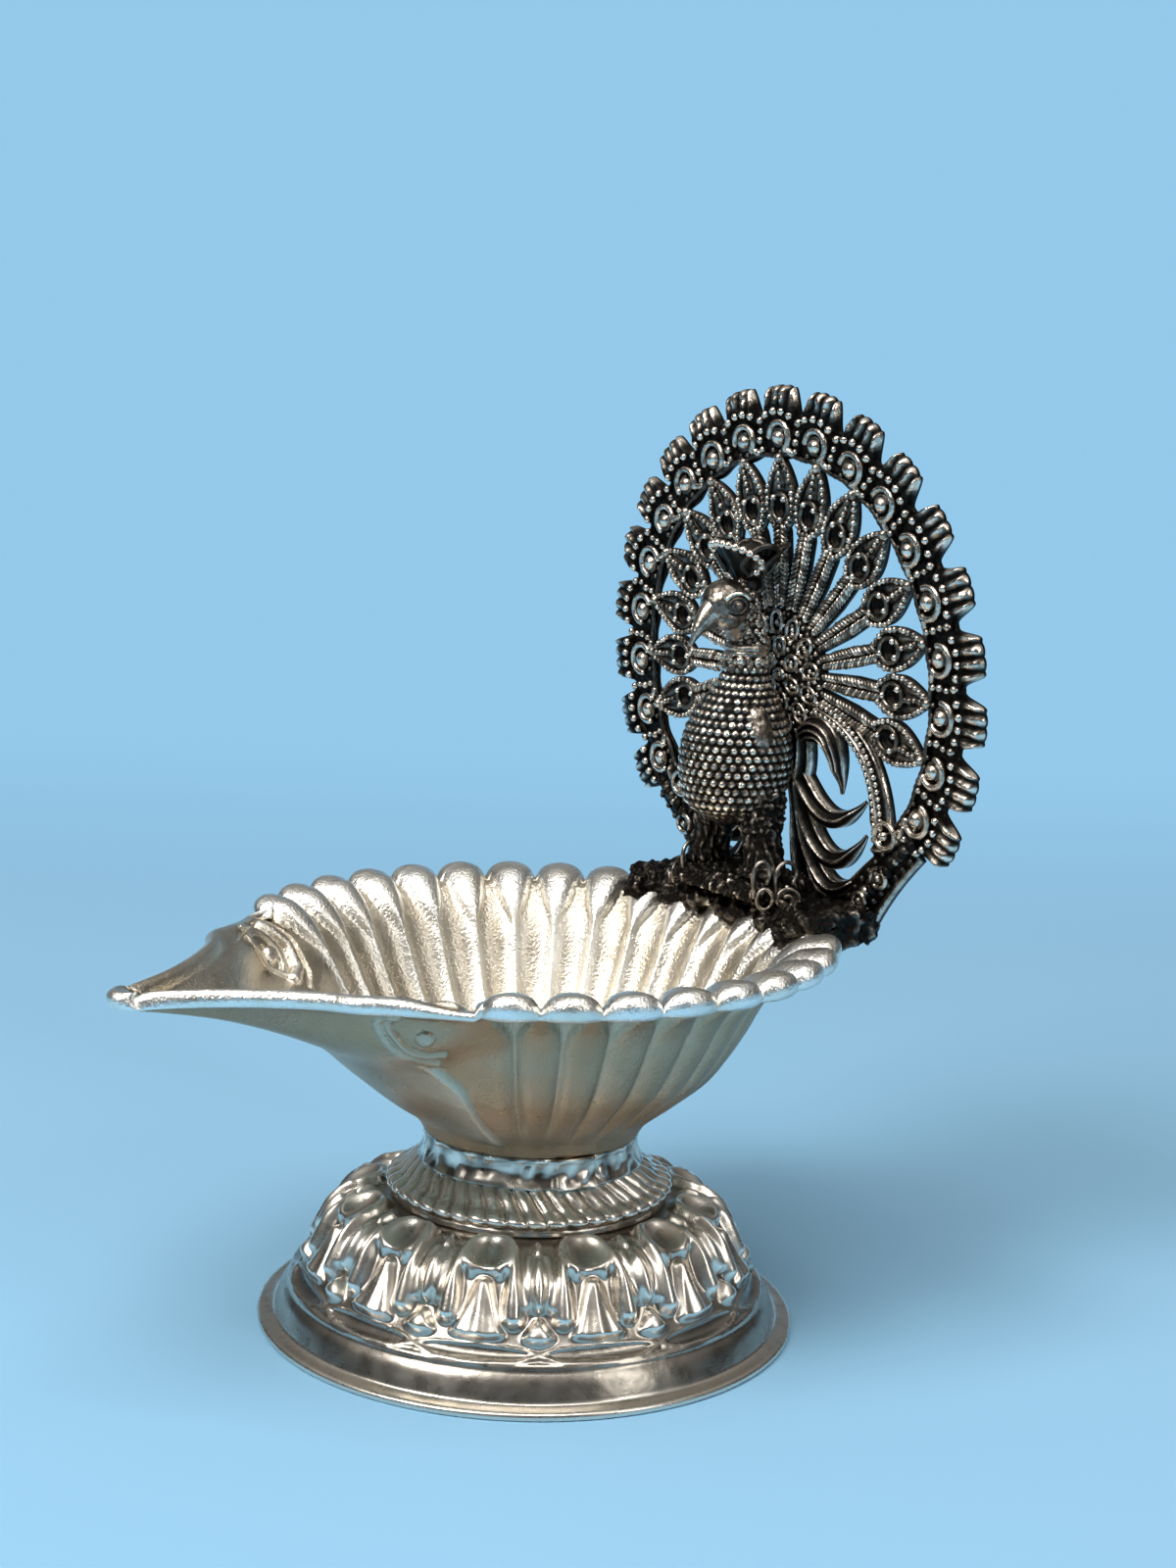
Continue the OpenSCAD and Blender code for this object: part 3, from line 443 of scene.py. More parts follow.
def collar():
    """Hammered strip round the neck; one end laps over the other."""
    low, high = box_mm("neck_collar")[0][2], box_mm("neck_collar")[1][2]
    lap, thick = math.radians(22), 0.42
    turns = np.linspace(0, FULL + lap, 560)
    line = along([[12.55, low], [12.05, mix(low, high, 0.3)], [11.8, mix(low, high, 0.6)],
                  [11.85, high]], 0.16)
    p = revolved(line, turns - lap)
    n = unit(p * [1, 1, 0])
    dents = np.clip(lumps(p, 2.4, 21), -1.2, 1.2)
    rel = thick * smooth((turns - FULL + 0.02) / 0.05) + 0.12 * dents \
        + 0.09 * dome((p[..., 2] - high + 0.35) / 0.3)
    loop = np.concatenate([p + n * (rel + thick)[..., None], (p + n * rel[..., None])[::-1]])
    # painted light: the dents' high points are painted lighter as highlight and their hollows darker as
    # shade; the inner face is painted darkest
    wear_and_painted_light = np.concatenate([np.clip(0.5 + 0.4 * dents, 0, 1), 0 * dents])
    return Shape().grid(np.swapaxes(loop, 0, 1), wear_and_painted_light.T)


# Bowl and spout

# the wall and the keel under the spout, level by level, as shares of radius or reach and of height
WALL_R = [0.36, 0.39, 0.493, 0.615, 0.696, 0.757, 0.812, 0.91, 1]
WALL_Z = [0, 0.075, 0.212, 0.39, 0.59, 0.778, 0.896, 0.995, 1]
KEEL_Y = [0.235, 0.259, 0.336, 0.427, 0.522, 0.662, 0.803, 0.926, 1]
KEEL_Z = [0, 0.085, 0.222, 0.406, 0.6, 0.755, 0.868, 0.934, 0.965]
LEVELS = len(WALL_R)
# lobes along the lip, how deep the lip dips between them, the wall's ridges, half the spout's opening
LOBES, SCALLOP, RIDGE, HALF = 24, 1.6, 0.85, math.radians(45)
TIP_R, EDGE_T = 2.4, 1.9
# how wide and high each lobe stands on its way up the wall
PAD_AT = [4.5, 5.0, 5.5, 6.0, 6.4, 6.9, 7.5, 8.0]
PAD_WIDE = [0.08, 0.12, 0.30, 0.55, 0.72, 0.86, 0.94, 0.97]
PAD_HIGH = [0.6, 0.8, 1.0, 1.3, 1.55, 1.85, 2.0, 2.0]
# rim of the spout from the last lobe to its tip
CORNER = RIM_R * np.array([math.sin(HALF), -math.cos(HALF)])
CURVE = [CORNER, CORNER - RIM_R * 0.4 * np.array([math.cos(HALF), math.sin(HALF)]),
         [RIM_R * 0.15, -REACH * 0.77], [TIP_R, TIP_R - REACH]]
# the bird's eye on each cheek of the spout: its centre, and its ways forward and up
EYE_AT = np.array([18, -26, 41.0])
EYE_FORE, EYE_UP = np.array([-0.244, -0.97, 0]), np.array([0.356, -0.09, 0.93])


def bowl_columns():
    """(kind, place) of each column: lobes run 0 to 24, spout sides 0 to 1."""
    per_lobe = 22
    u = np.r_[np.linspace(0, 0.4, 91)[:-1], np.linspace(0.4, 1, 50)]
    s = np.arange(1, LOBES * per_lobe) / per_lobe
    kind = np.r_[np.ones(len(u)), np.zeros(len(s)), -np.ones(len(u) - 1)]
    return kind, np.r_[u[::-1], s, u[:-1]]


def bowl_base(kind, place, j):
    """Smooth sheet at each column and level before its relief, rows by levels."""
    j, q = j[:, None], np.arange(LEVELS)
    wr, wz, ky, kz = (pchip(q, shares, j) for shares in (WALL_R, WALL_Z, KEEL_Y, KEEL_Z))
    lobe = place[None] * (kind[None] == 0)
    a = HALF + lobe * (FULL - 2 * HALF) / LOBES
    x = np.abs(2 * (lobe % 1) - 1)
    r = RIM_R * wr - smooth((j - LEVELS + 3) / 2) * SCALLOP * x ** 2.4
    wall = np.stack([r * np.sin(a), -r * np.cos(a), BOWL_Z + BOWL_H * wz + 0 * a], -1)
    u = place[None] * (kind[None] != 0)
    a = HALF * (1 - u)
    r, e = RIM_R * wr, REACH * ky
    y0 = r * math.cos(HALF)
    curve_end = 0.7
    rim = bezier(CURVE, np.clip(u[0] / curve_end, 0, 1))
    end = np.clip((u[0] - curve_end) / (1 - curve_end), 0, 1) * np.pi / 2
    tip = np.stack([TIP_R * np.cos(end), TIP_R - REACH - TIP_R * np.sin(end)], -1)
    rim = np.where((u[0] > curve_end)[:, None], tip, rim)[None]
    k = smooth((j - 3) / (LEVELS - 4))
    arc_y = y0 + (r * np.cos(a) - y0) * (e - y0) / np.maximum(r - y0, 1e-6)
    beak_y = y0 + (-rim[..., 1] + CORNER[1]) * (e - y0) / (REACH + CORNER[1])
    side = np.stack([kind[None] * mix(r * np.sin(a), rim[..., 0] * wr, k), -mix(arc_y, beak_y, k),
                     BOWL_Z + BOWL_H * mix(wz, kz, smooth(u * 1.2))], -1)
    return np.where((kind == 0)[None, :, None], wall, side)


def swollen(p, jj):
    """Spout walls swollen round the bird's eye, with a bump of the rim before it."""
    x, y, z = np.moveaxis(p, -1, 0)
    swell = 3.0 * np.exp(-np.square((y + 26) / 5.5) - np.square((z - 40.3) / 3.3)) \
        * smooth((LEVELS - 1 - jj) / 1.1) * smooth(np.abs(x) / 7)
    bump = 1.3 * np.exp(-np.square((y + 33) / 2.0)) * smooth((jj - 6.6) / 1.2) * smooth(np.abs(x) / 7)
    move = swell[..., None] * [0.90, -0.23, -0.37] + bump[..., None] * [0.85, -0.4, 0.1]
    return p + move * np.stack([np.sign(x), 1 + 0 * y, 1 + 0 * y], -1)


def eye_relief(p):
    """Chased bird's eye: its relief on the inner and on the outer face."""
    r = p - EYE_AT
    r[..., 0] = np.abs(p[..., 0]) - EYE_AT[0]
    s, t = r @ EYE_FORE, r @ EYE_UP

    def stroke(points, width, height):
        gap = np.min([np.hypot(s - a, t - b) for a, b in along(points, 0.3)], axis=0)
        return height * dome(gap / width)

    def disc(a, b, radius, height, form=dome):
        return height * form(np.hypot(s - a, t - b) / radius)

    ring = stroke([(3.9, 3.2), (2.8, 3.8), (-0.15, 3.75), (-2.99, 2.3), (-4.45, 0.12), (-4.33, -2.18),
                   (-2.79, -3.75)], 0.75, 0.75)
    second = stroke([(2.6, 2.1), (0.22, 2.5), (-1.45, 1.7), (-2.5, 0.2), (-2.7, -1.4), (-2.1, -2.7)],
                    0.4, 0.42)
    lower = stroke([(-2.79, -3.7), (-0.82, -2.05), (0.79, -0.29), (2.18, 1.42), (3.2, 3.0)], 0.38, 0.4)
    ball = disc(-1.05, -0.14, 1.2, 0.6) - disc(0.17, 0.75, 0.6, 0.7, hill)
    groove = stroke([(-4.6, 2.6), (-5.5, 0.2), (-5.5, -2.4), (-4.2, -4.6)], 0.5, -0.35)
    inside = np.maximum.reduce([ring, second, lower, ball]) + groove + np.minimum(ball, 0)
    ring = stroke([(2.6, 3.4), (3.9, 1.73), (4.33, 0.29), (3.46, -1.52), (1.67, -3.18), (-0.28, -4.36),
                   (-2.6, -5.4)], 0.55, 0.6)
    second = stroke([(3.3, 1.6), (3.45, 0.22), (2.58, -1.1), (0.81, -2.62), (-0.84, -3.14), (-2.6, -3.0)],
                    0.42, 0.5)
    ball = disc(0.07, -0.43, 1.1, 0.7) - disc(1.3, -0.1, 2.2, 0.35, hill)
    return inside, np.maximum.reduce([ring, second, ball])


def cheek_step(p):
    """Smooth cheek that stands out in front of a crease down the outer wall."""
    az = np.degrees(np.arctan2(np.abs(p[..., 0]), -p[..., 1]))
    line = np.interp(p[..., 2], [24, 25, 27.5, 33.1, 35.4, 38], [45, 44, 40.6, 38.3, 34.0, 30])
    k = np.clip((line - az) / 24, 0, 1)
    high = smooth((p[..., 2] - 23.5) / 2) * smooth((39 - p[..., 2]) / 2.5) * (p[..., 1] < 0)
    return 0.8 * (1 - k) ** 1.5 * smooth((line - az) / 2.2) * high


def bowl():
    """Lobed and fluted bowl of one sheet, with its spout, rolled edge and closed floor."""
    kind, place = bowl_columns()
    j = np.r_[np.linspace(0, PAD_AT[0], 38)[:-1], np.linspace(PAD_AT[0], LEVELS - 1, 78)]
    jj = j[:, None]
    base = swollen(bowl_base(kind, place, j), jj)
    lobe = (kind == 0)[None]
    x = np.abs(2 * (place % 1) - 1)[None]
    wide, high = np.interp(jj, PAD_AT, PAD_WIDE), np.interp(jj, PAD_AT, PAD_HIGH)
    pad = high * dome(x / wide) ** 0.85 * (jj >= PAD_AT[0])
    ridge = RIDGE * np.clip(1 - np.sqrt(x * x + 0.001), 0, 1) ** 2.6 * smooth((jj - 0.9) / 2)
    relief = np.where(lobe, np.maximum(pad, ridge), 0)
    edge = smooth(jj - 6.8) * smooth(place * 6)[None]
    sheet = np.where(lobe, SHEET, mix(SHEET, EDGE_T, edge))
    under = relief * (1 - smooth((jj - 6.9) / 0.9))
    # the rim is drawn in by its own thickness, so that the rolled edge ends at the rim's radius
    cap = ((relief + sheet - under) / 2)[-1]
    high_row = np.argmin(np.abs(j - LEVELS + 2))
    knee = base[high_row]
    keep = 1 - cap / np.linalg.norm(base[-1] - knee, axis=1)
    base[high_row:] = knee + (base[high_row:] - knee) * keep[:, None]
    across = np.roll(base, -1, 1) - np.roll(base, 1, 1)
    inward = unit(np.cross(np.gradient(base, axis=0), across))
    blank = np.where(lobe, 0, 1) * smooth((LEVELS - 1.15 - jj) / 0.3)
    inside, outside = (eye * blank for eye in eye_relief(base))
    step = cheek_step(base)
    outer = base + inward * (under - outside - step)[..., None]
    inner = base + inward * (relief + sheet + inside)[..., None]
    mid, half = (outer[-1] + inner[-1]) / 2, (inner[-1] - outer[-1]) / 2
    push = unit(base[-1] - base[-4]) * np.linalg.norm(half, axis=1, keepdims=True)
    rims = [mid - half * math.cos(t) + push * math.sin(t) for t in np.radians(np.arange(15, 166, 15))]
    r0 = RIM_R * WALL_R[0] - SHEET
    ring = unit(base[0] * [1, 1, 0])
    floor = [ring * r + UP * (BOWL_Z + 2 * SHEET - 0.02) for r in np.linspace(r0, 0.4, 8)]
    under_floor = [ring * r + UP * (BOWL_Z + SHEET) for r in (0.4, r0 - 0.02)] + [ring * r0 + UP * BOWL_Z]
    # painted light: the outside is painted dark and warm as a painted reflection, and lighter on the backs of
    # the pads, the eye and the cheek as painted highlights; inside, the valleys are painted darker as shade
    # and the ridges and the eye lighter as highlights; the rolled edge is painted lightest as a highlight,
    # and the floor inside is lighter than the one under it
    outer_painted_light = 0.12 + 0.14 * under + 0.3 * outside + 0.5 * step
    inner_painted_light = 0.5 + 0.42 * relief + 0.2 * inside
    even = lambda rows, wear_and_painted_light: np.full((len(rows), len(kind)), wear_and_painted_light)
    wear_and_painted_light = np.concatenate([even(under_floor, 0.2), outer_painted_light, even(rims, 1.0), inner_painted_light[:0:-1],
                           even(floor, 0.7)])
    rows = np.concatenate([under_floor, outer, rims, inner[:0:-1], floor])
    return Shape().grid(rows, np.clip(wear_and_painted_light, 0, 1))


# The fan's plane: across, up from the fan's centre, and out of its front

LEAN = math.radians(4.15)
FAN_Y, CENTRE_H = 39.17, 73.8
FAN_T, FAN_R, VALLEY_R, INNER_R = 1.3, 33.9, 30.5, 25.4
LOBE_COUNT, LOBE_TURN = 19, 13.4
FEATHERS, FEATHER_TURN, HUB_R = 15, 15.2, 7.6


def on_fan(p):
    """Points of the fan's plane in the lamp."""
    x, v, out = p[..., 0], p[..., 1] + CENTRE_H, p[..., 2]
    return np.stack([x, FAN_Y - v * math.sin(LEAN) - out * math.cos(LEAN),
                     v * math.cos(LEAN) - out * math.sin(LEAN)], -1)


def turned(p, degrees):
    a = math.radians(degrees)
    x, v = p[..., 0], p[..., 1]
    return np.stack([x * math.cos(a) + v * math.sin(a), v * math.cos(a) - x * math.sin(a), p[..., 2]], -1)


def polar(r, degrees, out):
    a = math.radians(degrees)
    return [r * math.sin(a), r * math.cos(a), out]


def with_out(flat, out):
    """Points across and up, with a height out of the plane."""
    flat = np.asarray(flat, float)
    return np.concatenate([flat, np.broadcast_to(out, flat.shape[:-1])[..., None]], -1)


def ellipse(cx, cy, rx, ry, out, n, start=0.0, end=360.0):
    t = np.radians(np.linspace(start, end, n, endpoint=end - start < 360))
    return np.stack([cx + rx * np.sin(t), cy + ry * np.cos(t), np.full(n, out)], 1)


def bar_plan(half, v, cols):
    """Plan of a bar up the plane, from its half width at each height."""
    return np.stack([half[:, None] * np.linspace(-1, 1, cols), np.repeat(v[:, None], cols, 1)], -1)


def backed(s, plan, out, wear_and_painted_light, base=-FAN_T):
    """Relief over rows of a plan, closed by a flat back; a single wear covers the back too."""
    ends = plan[:, [-1, 0]]
    if np.ndim(wear_and_painted_light):
        wear_and_painted_light = np.concatenate([np.broadcast_to(wear_and_painted_light, plan.shape[:2]), np.zeros(ends.shape[:2])], 1)
    s.grid(np.concatenate([with_out(plan, out), with_out(ends, base)], 1), wear_and_painted_light)


def curve_frame(curve, n):
    """Points of a curve drawn in shares of the ring's inner radius, and its sideways directions."""
    c = bezier(np.array(curve) * INNER_R, np.linspace(0, 1, n))
    d = unit(np.gradient(c, axis=0))
    return c, np.stack([-d[:, 1], d[:, 0]], 1)


def ridged_leaf(s, curve, widths, thick, steps, ridges, out):
    """Leaf on the fan's plane: flat at the back, domed in front, with ridge lines along it."""
    c, side = curve_frame(curve, steps)
    u = np.linspace(0, 1, steps)
    w = bezier(widths, u)
    q = np.linspace(1, -1, 29)
    tall = thick * ((0.45 + 0.55 * np.minimum(1, w / thick)) * (0.3 + 0.7 * smooth((1 - u) * 7)))[:, None]
    line = np.abs(np.cos(np.pi * ridges * (q + 1) / 2))
    up = tall * (0.34 + 0.42 * dome(q) + 0.24 * line ** 3 * dome(q * 0.9))
    plan = c[:, None] + side[:, None] * (w[:, None, None] / 2) * q[None, :, None]
    backed(s, plan, up + out, 0.12 + 0.8 * line ** 4, out)


# Tail

def lobe_edge(a):
    """Outer radius of the rim at an angle: paws with four fingers and valleys between them."""
    x = np.abs(2 * ((a / LOBE_TURN) % 1) - 1)
    paw = smooth((0.92 - x) / 0.42) * (1 - 0.16 * x ** 2)
    return VALLEY_R + (FAN_R - VALLEY_R) * paw * (0.93 + 0.07 * np.abs(np.sin(FULL * x / 0.8)) ** 0.7)


def one_lobe(rng):
    """What stands on the rim at one lobe: a boss in a wire crook, and beads round it."""
    one = Shape()
    r0, grow = 27.75 + rng.uniform(-0.15, 0.15), rng.uniform(0.94, 1.06)
    one.balls([0, r0 - 0.1, -0.2], np.array([[0.95, 0.9, 0.85]]) * grow, wear_and_painted_light=0.95, level=3)
    hook = ellipse(0.05, r0, 1.75 * grow, 1.75 * grow, -0.12, 26, -95, 150)
    tail = [[1.35, 26.45, -0.25], [1.9, 26.0, -0.4], [2.3, 25.9, -0.45]]
    one.tube(along(np.concatenate([hook, tail]), 0.25), 0.42, 8, 0.85)
    one.tube(ellipse(-0.1, r0 - 0.05, 1.05, 1.0, -0.2, 18, 150, 400), 0.2, 6, 0.55)
    for k in np.arange(4) - 1.5:
        at = polar(30.9 - 0.2 * k ** 2, k * 0.2 * LOBE_TURN, 0.12)
        one.balls(at, 0.46 + 0.06 * rng.random(), wear_and_painted_light=1, level=2)
    for r, size in ((29.8, 0.5), (28.6, 0.4), (27.5, 0.5), (26.4, 0.4)):
        one.balls(polar(r, LOBE_TURN / 2 * rng.uniform(0.92, 1.04), -0.15), size, wear_and_painted_light=0.85, level=2)
    for r, degrees in ((26.3, -2.6), (26.1, 0.2)):
        one.balls(polar(r, degrees, -0.3), 0.36, wear_and_painted_light=0.6)
    return one


def tail_ring():
    """Openwork rim: each lobe is a paw of four fingers over a boss in a wire crook."""
    rng, end = np.random.default_rng(9), LOBE_TURN * LOBE_COUNT / 2
    turns = np.linspace(0, 2 * end, LOBE_COUNT * 54 + 1)[:, None]
    t = np.r_[0, 0.012, 0.04, np.linspace(0.08, 0.92, 36), 0.95, 0.975, 0.99, 1.0][None]
    outer = lobe_edge(turns)
    r = mix(INNER_R + 0.25 * np.cos(np.radians(turns * 360 / LOBE_TURN)), outer, t)
    phi = 2 * ((turns / LOBE_TURN) % 1) - 1
    finger = np.abs(np.sin(FULL * phi / 0.8)) ** 0.7 * (np.abs(phi) < 0.8)
    past_root = r - (30.8 - 1.2 * phi ** 2)
    zone = smooth(past_root / 0.45)
    slope = 1 - 0.3 * np.clip(past_root / (past_root - r + outer + 0.1), 0, 1) ** 1.5
    top = -0.8 + zone * slope * (0.3 + 0.85 * finger) * smooth((0.9 - np.abs(phi)) / 0.16)
    edge = dome(np.clip((np.abs(t - 0.5) - 0.42) / 0.08, 0, 1))
    a = np.radians(turns - end)
    plan = np.stack([r * np.sin(a), r * np.cos(a)], -1)
    flat = with_out(plan, 0.0)
    grain = 0.07 * lumps(flat, 1.1, 31) + 0.1 * lumps(flat, 3.5, 32)
    wear_and_painted_light = np.clip(0.06 + 0.9 * zone * finger ** 1.5 * smooth((r - 31.0) / 1.4), 0, 1)
    rim = Shape()
    backed(rim, plan, -0.9 + (top + 0.9 + grain) * edge, wear_and_painted_light)
    for i in range(LOBE_COUNT):
        rim.merge(one_lobe(rng), lambda p, k=i: turned(p, (k + 0.5) * LOBE_TURN - end))
    a = np.radians(np.linspace(-end, end, 420))
    ring = 25.75 + 0.12 * np.sin(a * 31)
    path = np.stack([ring * np.sin(a), ring * np.cos(a), np.full(420, -0.45)], 1)
    rim.tube(path, 0.34 * (0.7 + 0.3 * np.abs(np.cos(np.pi * run_of(path) / 0.9))), 7, 0.45)
    return Shape().merge(rim, on_fan)


def beads_on(s, line, size, pitch, wear_and_painted_light, seed):
    """Uneven grains along a line of points."""
    rng = np.random.default_rng(seed)
    c = spaced(line, pitch / 2, pitch)
    n = len(c)
    s.balls(c + rng.uniform(-0.07, 0.07, (n, 3)), size * rng.uniform(0.82, 1.15, n),
            wear_and_painted_light=wear_and_painted_light * rng.uniform(0.7, 1.1, n))


def feather(seed):
    """One feather up the plane: braided stem, granulated head and a dark eye hole."""
    s = Shape()
    start, tip, eye_v = INNER_R * 0.66, INNER_R + 0.1, 19.6
    u = np.linspace(0.02, 0.985, 34)
    half, v = np.maximum(1 - u, 2.5 * np.sin(np.pi * u ** 0.8) ** 0.8), mix(start, tip, u)
    plan = bar_plan(half, v, 25)
    d = np.hypot(plan[..., 0] / 1.1, (plan[..., 1] - eye_v) / 1.3)
    line = 0.22 * np.abs(np.cos(FULL * np.linspace(-1, 1, 25))) * smooth(plan[..., 1] - 21.2)
    out = -0.5 - 0.65 * smooth((1.1 - d) / 0.35) + line + 0.06 * lumps(with_out(plan, 0.0), 0.9, seed)
    backed(s, plan, out, np.where(d < 1.15, 0.0, 0.3 + 1.6 * line))
    side = np.stack([half * 0.92, v], 1)
    edge = np.concatenate([side, [[0, tip - 0.3]], (side * [-1, 1])[::-1]])
    s.tube(with_out(edge, -0.42), 0.36, 7, 0.5)
    beads_on(s, with_out(edge, -0.15), 0.4, 0.74, 0.9, seed)
    s.tube(ellipse(0, eye_v, 1.45, 1.6, -0.3, 24), 0.33, 7, 0.6, True)
    s.balls([[-0.9, 20.7, 0.0], [0.95, 20.6, 0.0], [0.1, 18.1, -0.1]], [0.42, 0.4, 0.4], wear_and_painted_light=1, level=2)
    beads_on(s, with_out([[0.1, 21.6], [-0.1, 24.6]], 0.0), 0.4, 0.78, 0.85, seed + 1)
    s.balls([0, tip - 0.1, -0.15], 0.62, wear_and_painted_light=0.8, level=2)
    # the stem: a bar under two rows of slanted grains
    root, wide = HUB_R + 0.06, mix(HUB_R, start, 0.6)
    v = np.linspace(root, start + 0.6, 40)
    half = np.interp(v, [root, wide, start, start + 0.6], [0.84, 1.25, 1.15, 0.9])
    backed(s, bar_plan(half, v, 9), -0.6, 0.05)
    n, slant, rng = 17, math.radians(48), np.random.default_rng(seed)
    v = np.linspace(root + 0.25, start + 0.3, n)
    half = np.interp(v, [root, wide, start], [0.84, 1.3, 1.15])
    for side in (-1, 1):
        way = np.array([-side * math.sin(slant), math.cos(slant), 0])
        c = np.stack([side * half * 0.52, v + 0.25 * (side > 0), np.full(n, -0.32)], 1)
        radii = np.stack([half * 0.62, np.full(n, 0.29), np.full(n, 0.5)], 1) * rng.uniform(0.9, 1.12, (n, 1))
        s.balls(c, radii, np.array([way, [way[1], -way[0], 0], UP]), rng.uniform(0.55, 0.95, n), level=2)
    return s


def tail_feathers():
    s = Shape()
    for i in range(FEATHERS):
        s.merge(feather(i * 7 + 5), lambda p, k=i: on_fan(turned(p, (k - (FEATHERS - 1) / 2) * FEATHER_TURN)))
    return s


def tail_rosette():
    """Granulated hub: rings of wire loops with grains between them, and a tongue below."""
    flat = Shape()
    rows = [[HUB_R - 0.05, -FAN_T], [HUB_R, -0.5], [HUB_R - 0.3, -0.15], [5.2, 0.05], [4.4, 0.5], [2.4, 0.85],
            [0.4, 1.0]]
    flat.grid(revolved(along(rows, 0.3), np.linspace(0, FULL, 72, endpoint=False)), 0.08)
    out = lambda r: np.interp(r, [0, 2.4, 4.4, 5.2, 7.2, 7.6], [1.0, 0.85, 0.5, 0.1, -0.15, -0.4])
    for radius, count, half_l, half_w, phase in ((6.0, 13, 1.35, 0.95, 0), (3.6, 8, 1.1, 0.85, 20),
                                                 (1.4, 4, 0.8, 0.6, 0)):
        loop = Shape().tube(ellipse(0, radius, half_w, half_l, out(radius) + 0.28, 20), 0.25, 6, 0.85, True)
        loop.balls([0, radius, out(radius) + 0.25], 0.36)
        loop.balls([0, radius + half_l - 0.1, out(radius + half_l) + 0.3], 0.3, wear_and_painted_light=0.9)
        for k in range(count):
            flat.merge(loop, lambda p, a=phase + k * 360 / count: turned(p, a))
    rng = np.random.default_rng(12)
    grains = []
    for r in np.arange(0.7, 7.6, 0.82):
        n = max(3, int(FULL * r / 0.95))
        for k in range(n):
            a = FULL * (k + rng.uniform(-0.2, 0.2)) / n
            rr = r + rng.uniform(-0.18, 0.18)
            grains.append([rr * math.sin(a), rr * math.cos(a), out(rr) + 0.12])
    flat.balls(grains, rng.uniform(0.26, 0.42, len(grains)), wear_and_painted_light=rng.uniform(0.5, 1, len(grains)))
    v = np.linspace(-5, -HUB_R - 5.9, 16)
    half = 3.15 * dome(np.clip((-v - HUB_R - 2.9) / 3.1, 0, 1)) + 0.05
    backed(flat, bar_plan(half, v, 11), -0.1, 0.1)
    return Shape().merge(flat, on_fan)


# curves beside the body, in shares of the ring's inner radius
ARM = [[0.26, -0.135], [0.595, -0.2], [0.706, -0.417], [0.69, -0.718]]
BRANCH = [[0.9, -0.68], [0.774, -0.793], [0.635, -0.913], [0.46, -1.13]]
CURL = [[0.66, -0.74], [0.76, -0.74], [0.86, -0.68], [0.87, -0.56]]
ROOT = [[0.17, -0.28], [0.19, -0.38], [0.15, -0.48], [0.13, -0.6]]
CROOK = [[0.17, -0.31], [0.2, -0.2], [0.47, -0.18], [0.4, -0.53]]
HOOKS = [[[0.12, -0.43], [0.22, -0.6], [0.38, -0.76], [0.57, -0.54]],
         [[0.14, -0.5], [0.2, -0.84], [0.42, -0.96], [0.57, -0.7]],
         [[0.15, -0.58], [0.2, -0.96], [0.4, -1.08], [0.54, -0.88]]]
LONG = [[0.09, -0.5], [0.18, -0.68], [0.08, -0.93], [0.28, -1.11]]


def tail_arms():
    """Arms that carry the ring's ends: beaded leaves, and on the branch uneven grains and ringed eyes."""
    s, one = Shape(), Shape()
    for curve, widths in ((ARM, [1.8, 2.2, 2.8, 4]), (BRANCH, [4.6, 4.8, 5.6, 7.5]),
                          (CURL, [3, 4.2, 4, 2.6])):
        ridged_leaf(one, curve, widths, 1.75, 48, 2, -FAN_T)
    for curve, shifts, out, pitch, wear_and_painted_light in ((ARM, (-0.55, 0.55), 0.12, 0.85, 0.9),
                                            (BRANCH, (-1.5, 0.2, 1.6), 0.15, 1.7, 0.45)):
        c, side = curve_frame(curve, 200)
        for shift in shifts:
            one.balls(with_out(spaced(c + side * shift, pitch / 2, pitch), out), 0.42, wear_and_painted_light=wear_and_painted_light)
    rng = np.random.default_rng(21)
    for q, shift in zip(np.linspace(0.05, 0.95, 26), rng.uniform(-1.9, 1.9, 26)):
        x, y = bezier(np.array(BRANCH) * INNER_R, q) + [shift * 0.8, shift * 0.5]
        one.balls([x, y, 0.1], rng.uniform(0.5, 0.95, (1, 3)), wear_and_painted_light=rng.uniform(0.1, 0.8), level=2)
    for x, y, rx, ry, ring_out, n, wire, ring_wear, out, size, wear_and_painted_light in (
            (0.75, -0.66, 1.7, 1.5, 0.35, 24, 0.34, 0.85, 0.4, 0.55, 1),
            (0.72, -0.86, 1.25, 1.125, 0.6, 20, 0.32, 0.8, 0.6, 0.45, 0.9),
            (0.59, -0.99, 1.0, 0.9, 0.6, 20, 0.32, 0.8, 0.6, 0.45, 0.9)):
        one.tube(ellipse(x * INNER_R, y * INNER_R, rx, ry, ring_out, n), wire, 7, ring_wear, True)
        one.balls([x * INNER_R, y * INNER_R, out], size, wear_and_painted_light=wear_and_painted_light, level=2)
    for side in (1, -1):
        s.merge(one, lambda p, k=side: on_fan(p * [k, 1, 1]))
    return s


def plume(side):
    """Acanthus spray beside the body: a crook, three hooks and a long leaf."""
    one = Shape()
    leaves = [(CROOK, [1.6, 4.4, 3.6, 0.4], 2.7, 60, 4), (ROOT, [2, 2.8, 2.8, 2], 2.4, 30, 2)]
    leaves += [(curve, [2.4, 3.6, 2.8, 0.45], 2.5 - 0.1 * k, 56, 2) for k, curve in enumerate(HOOKS)]
    for leaf in leaves + [(LONG, [1.8, 2.4, 3.2, 4.6], 2.6, 56, 2)]:
        ridged_leaf(one, *leaf, -1.2)
    return Shape().merge(one, lambda p: on_fan(p * [side, 1, 1]))


# Bird

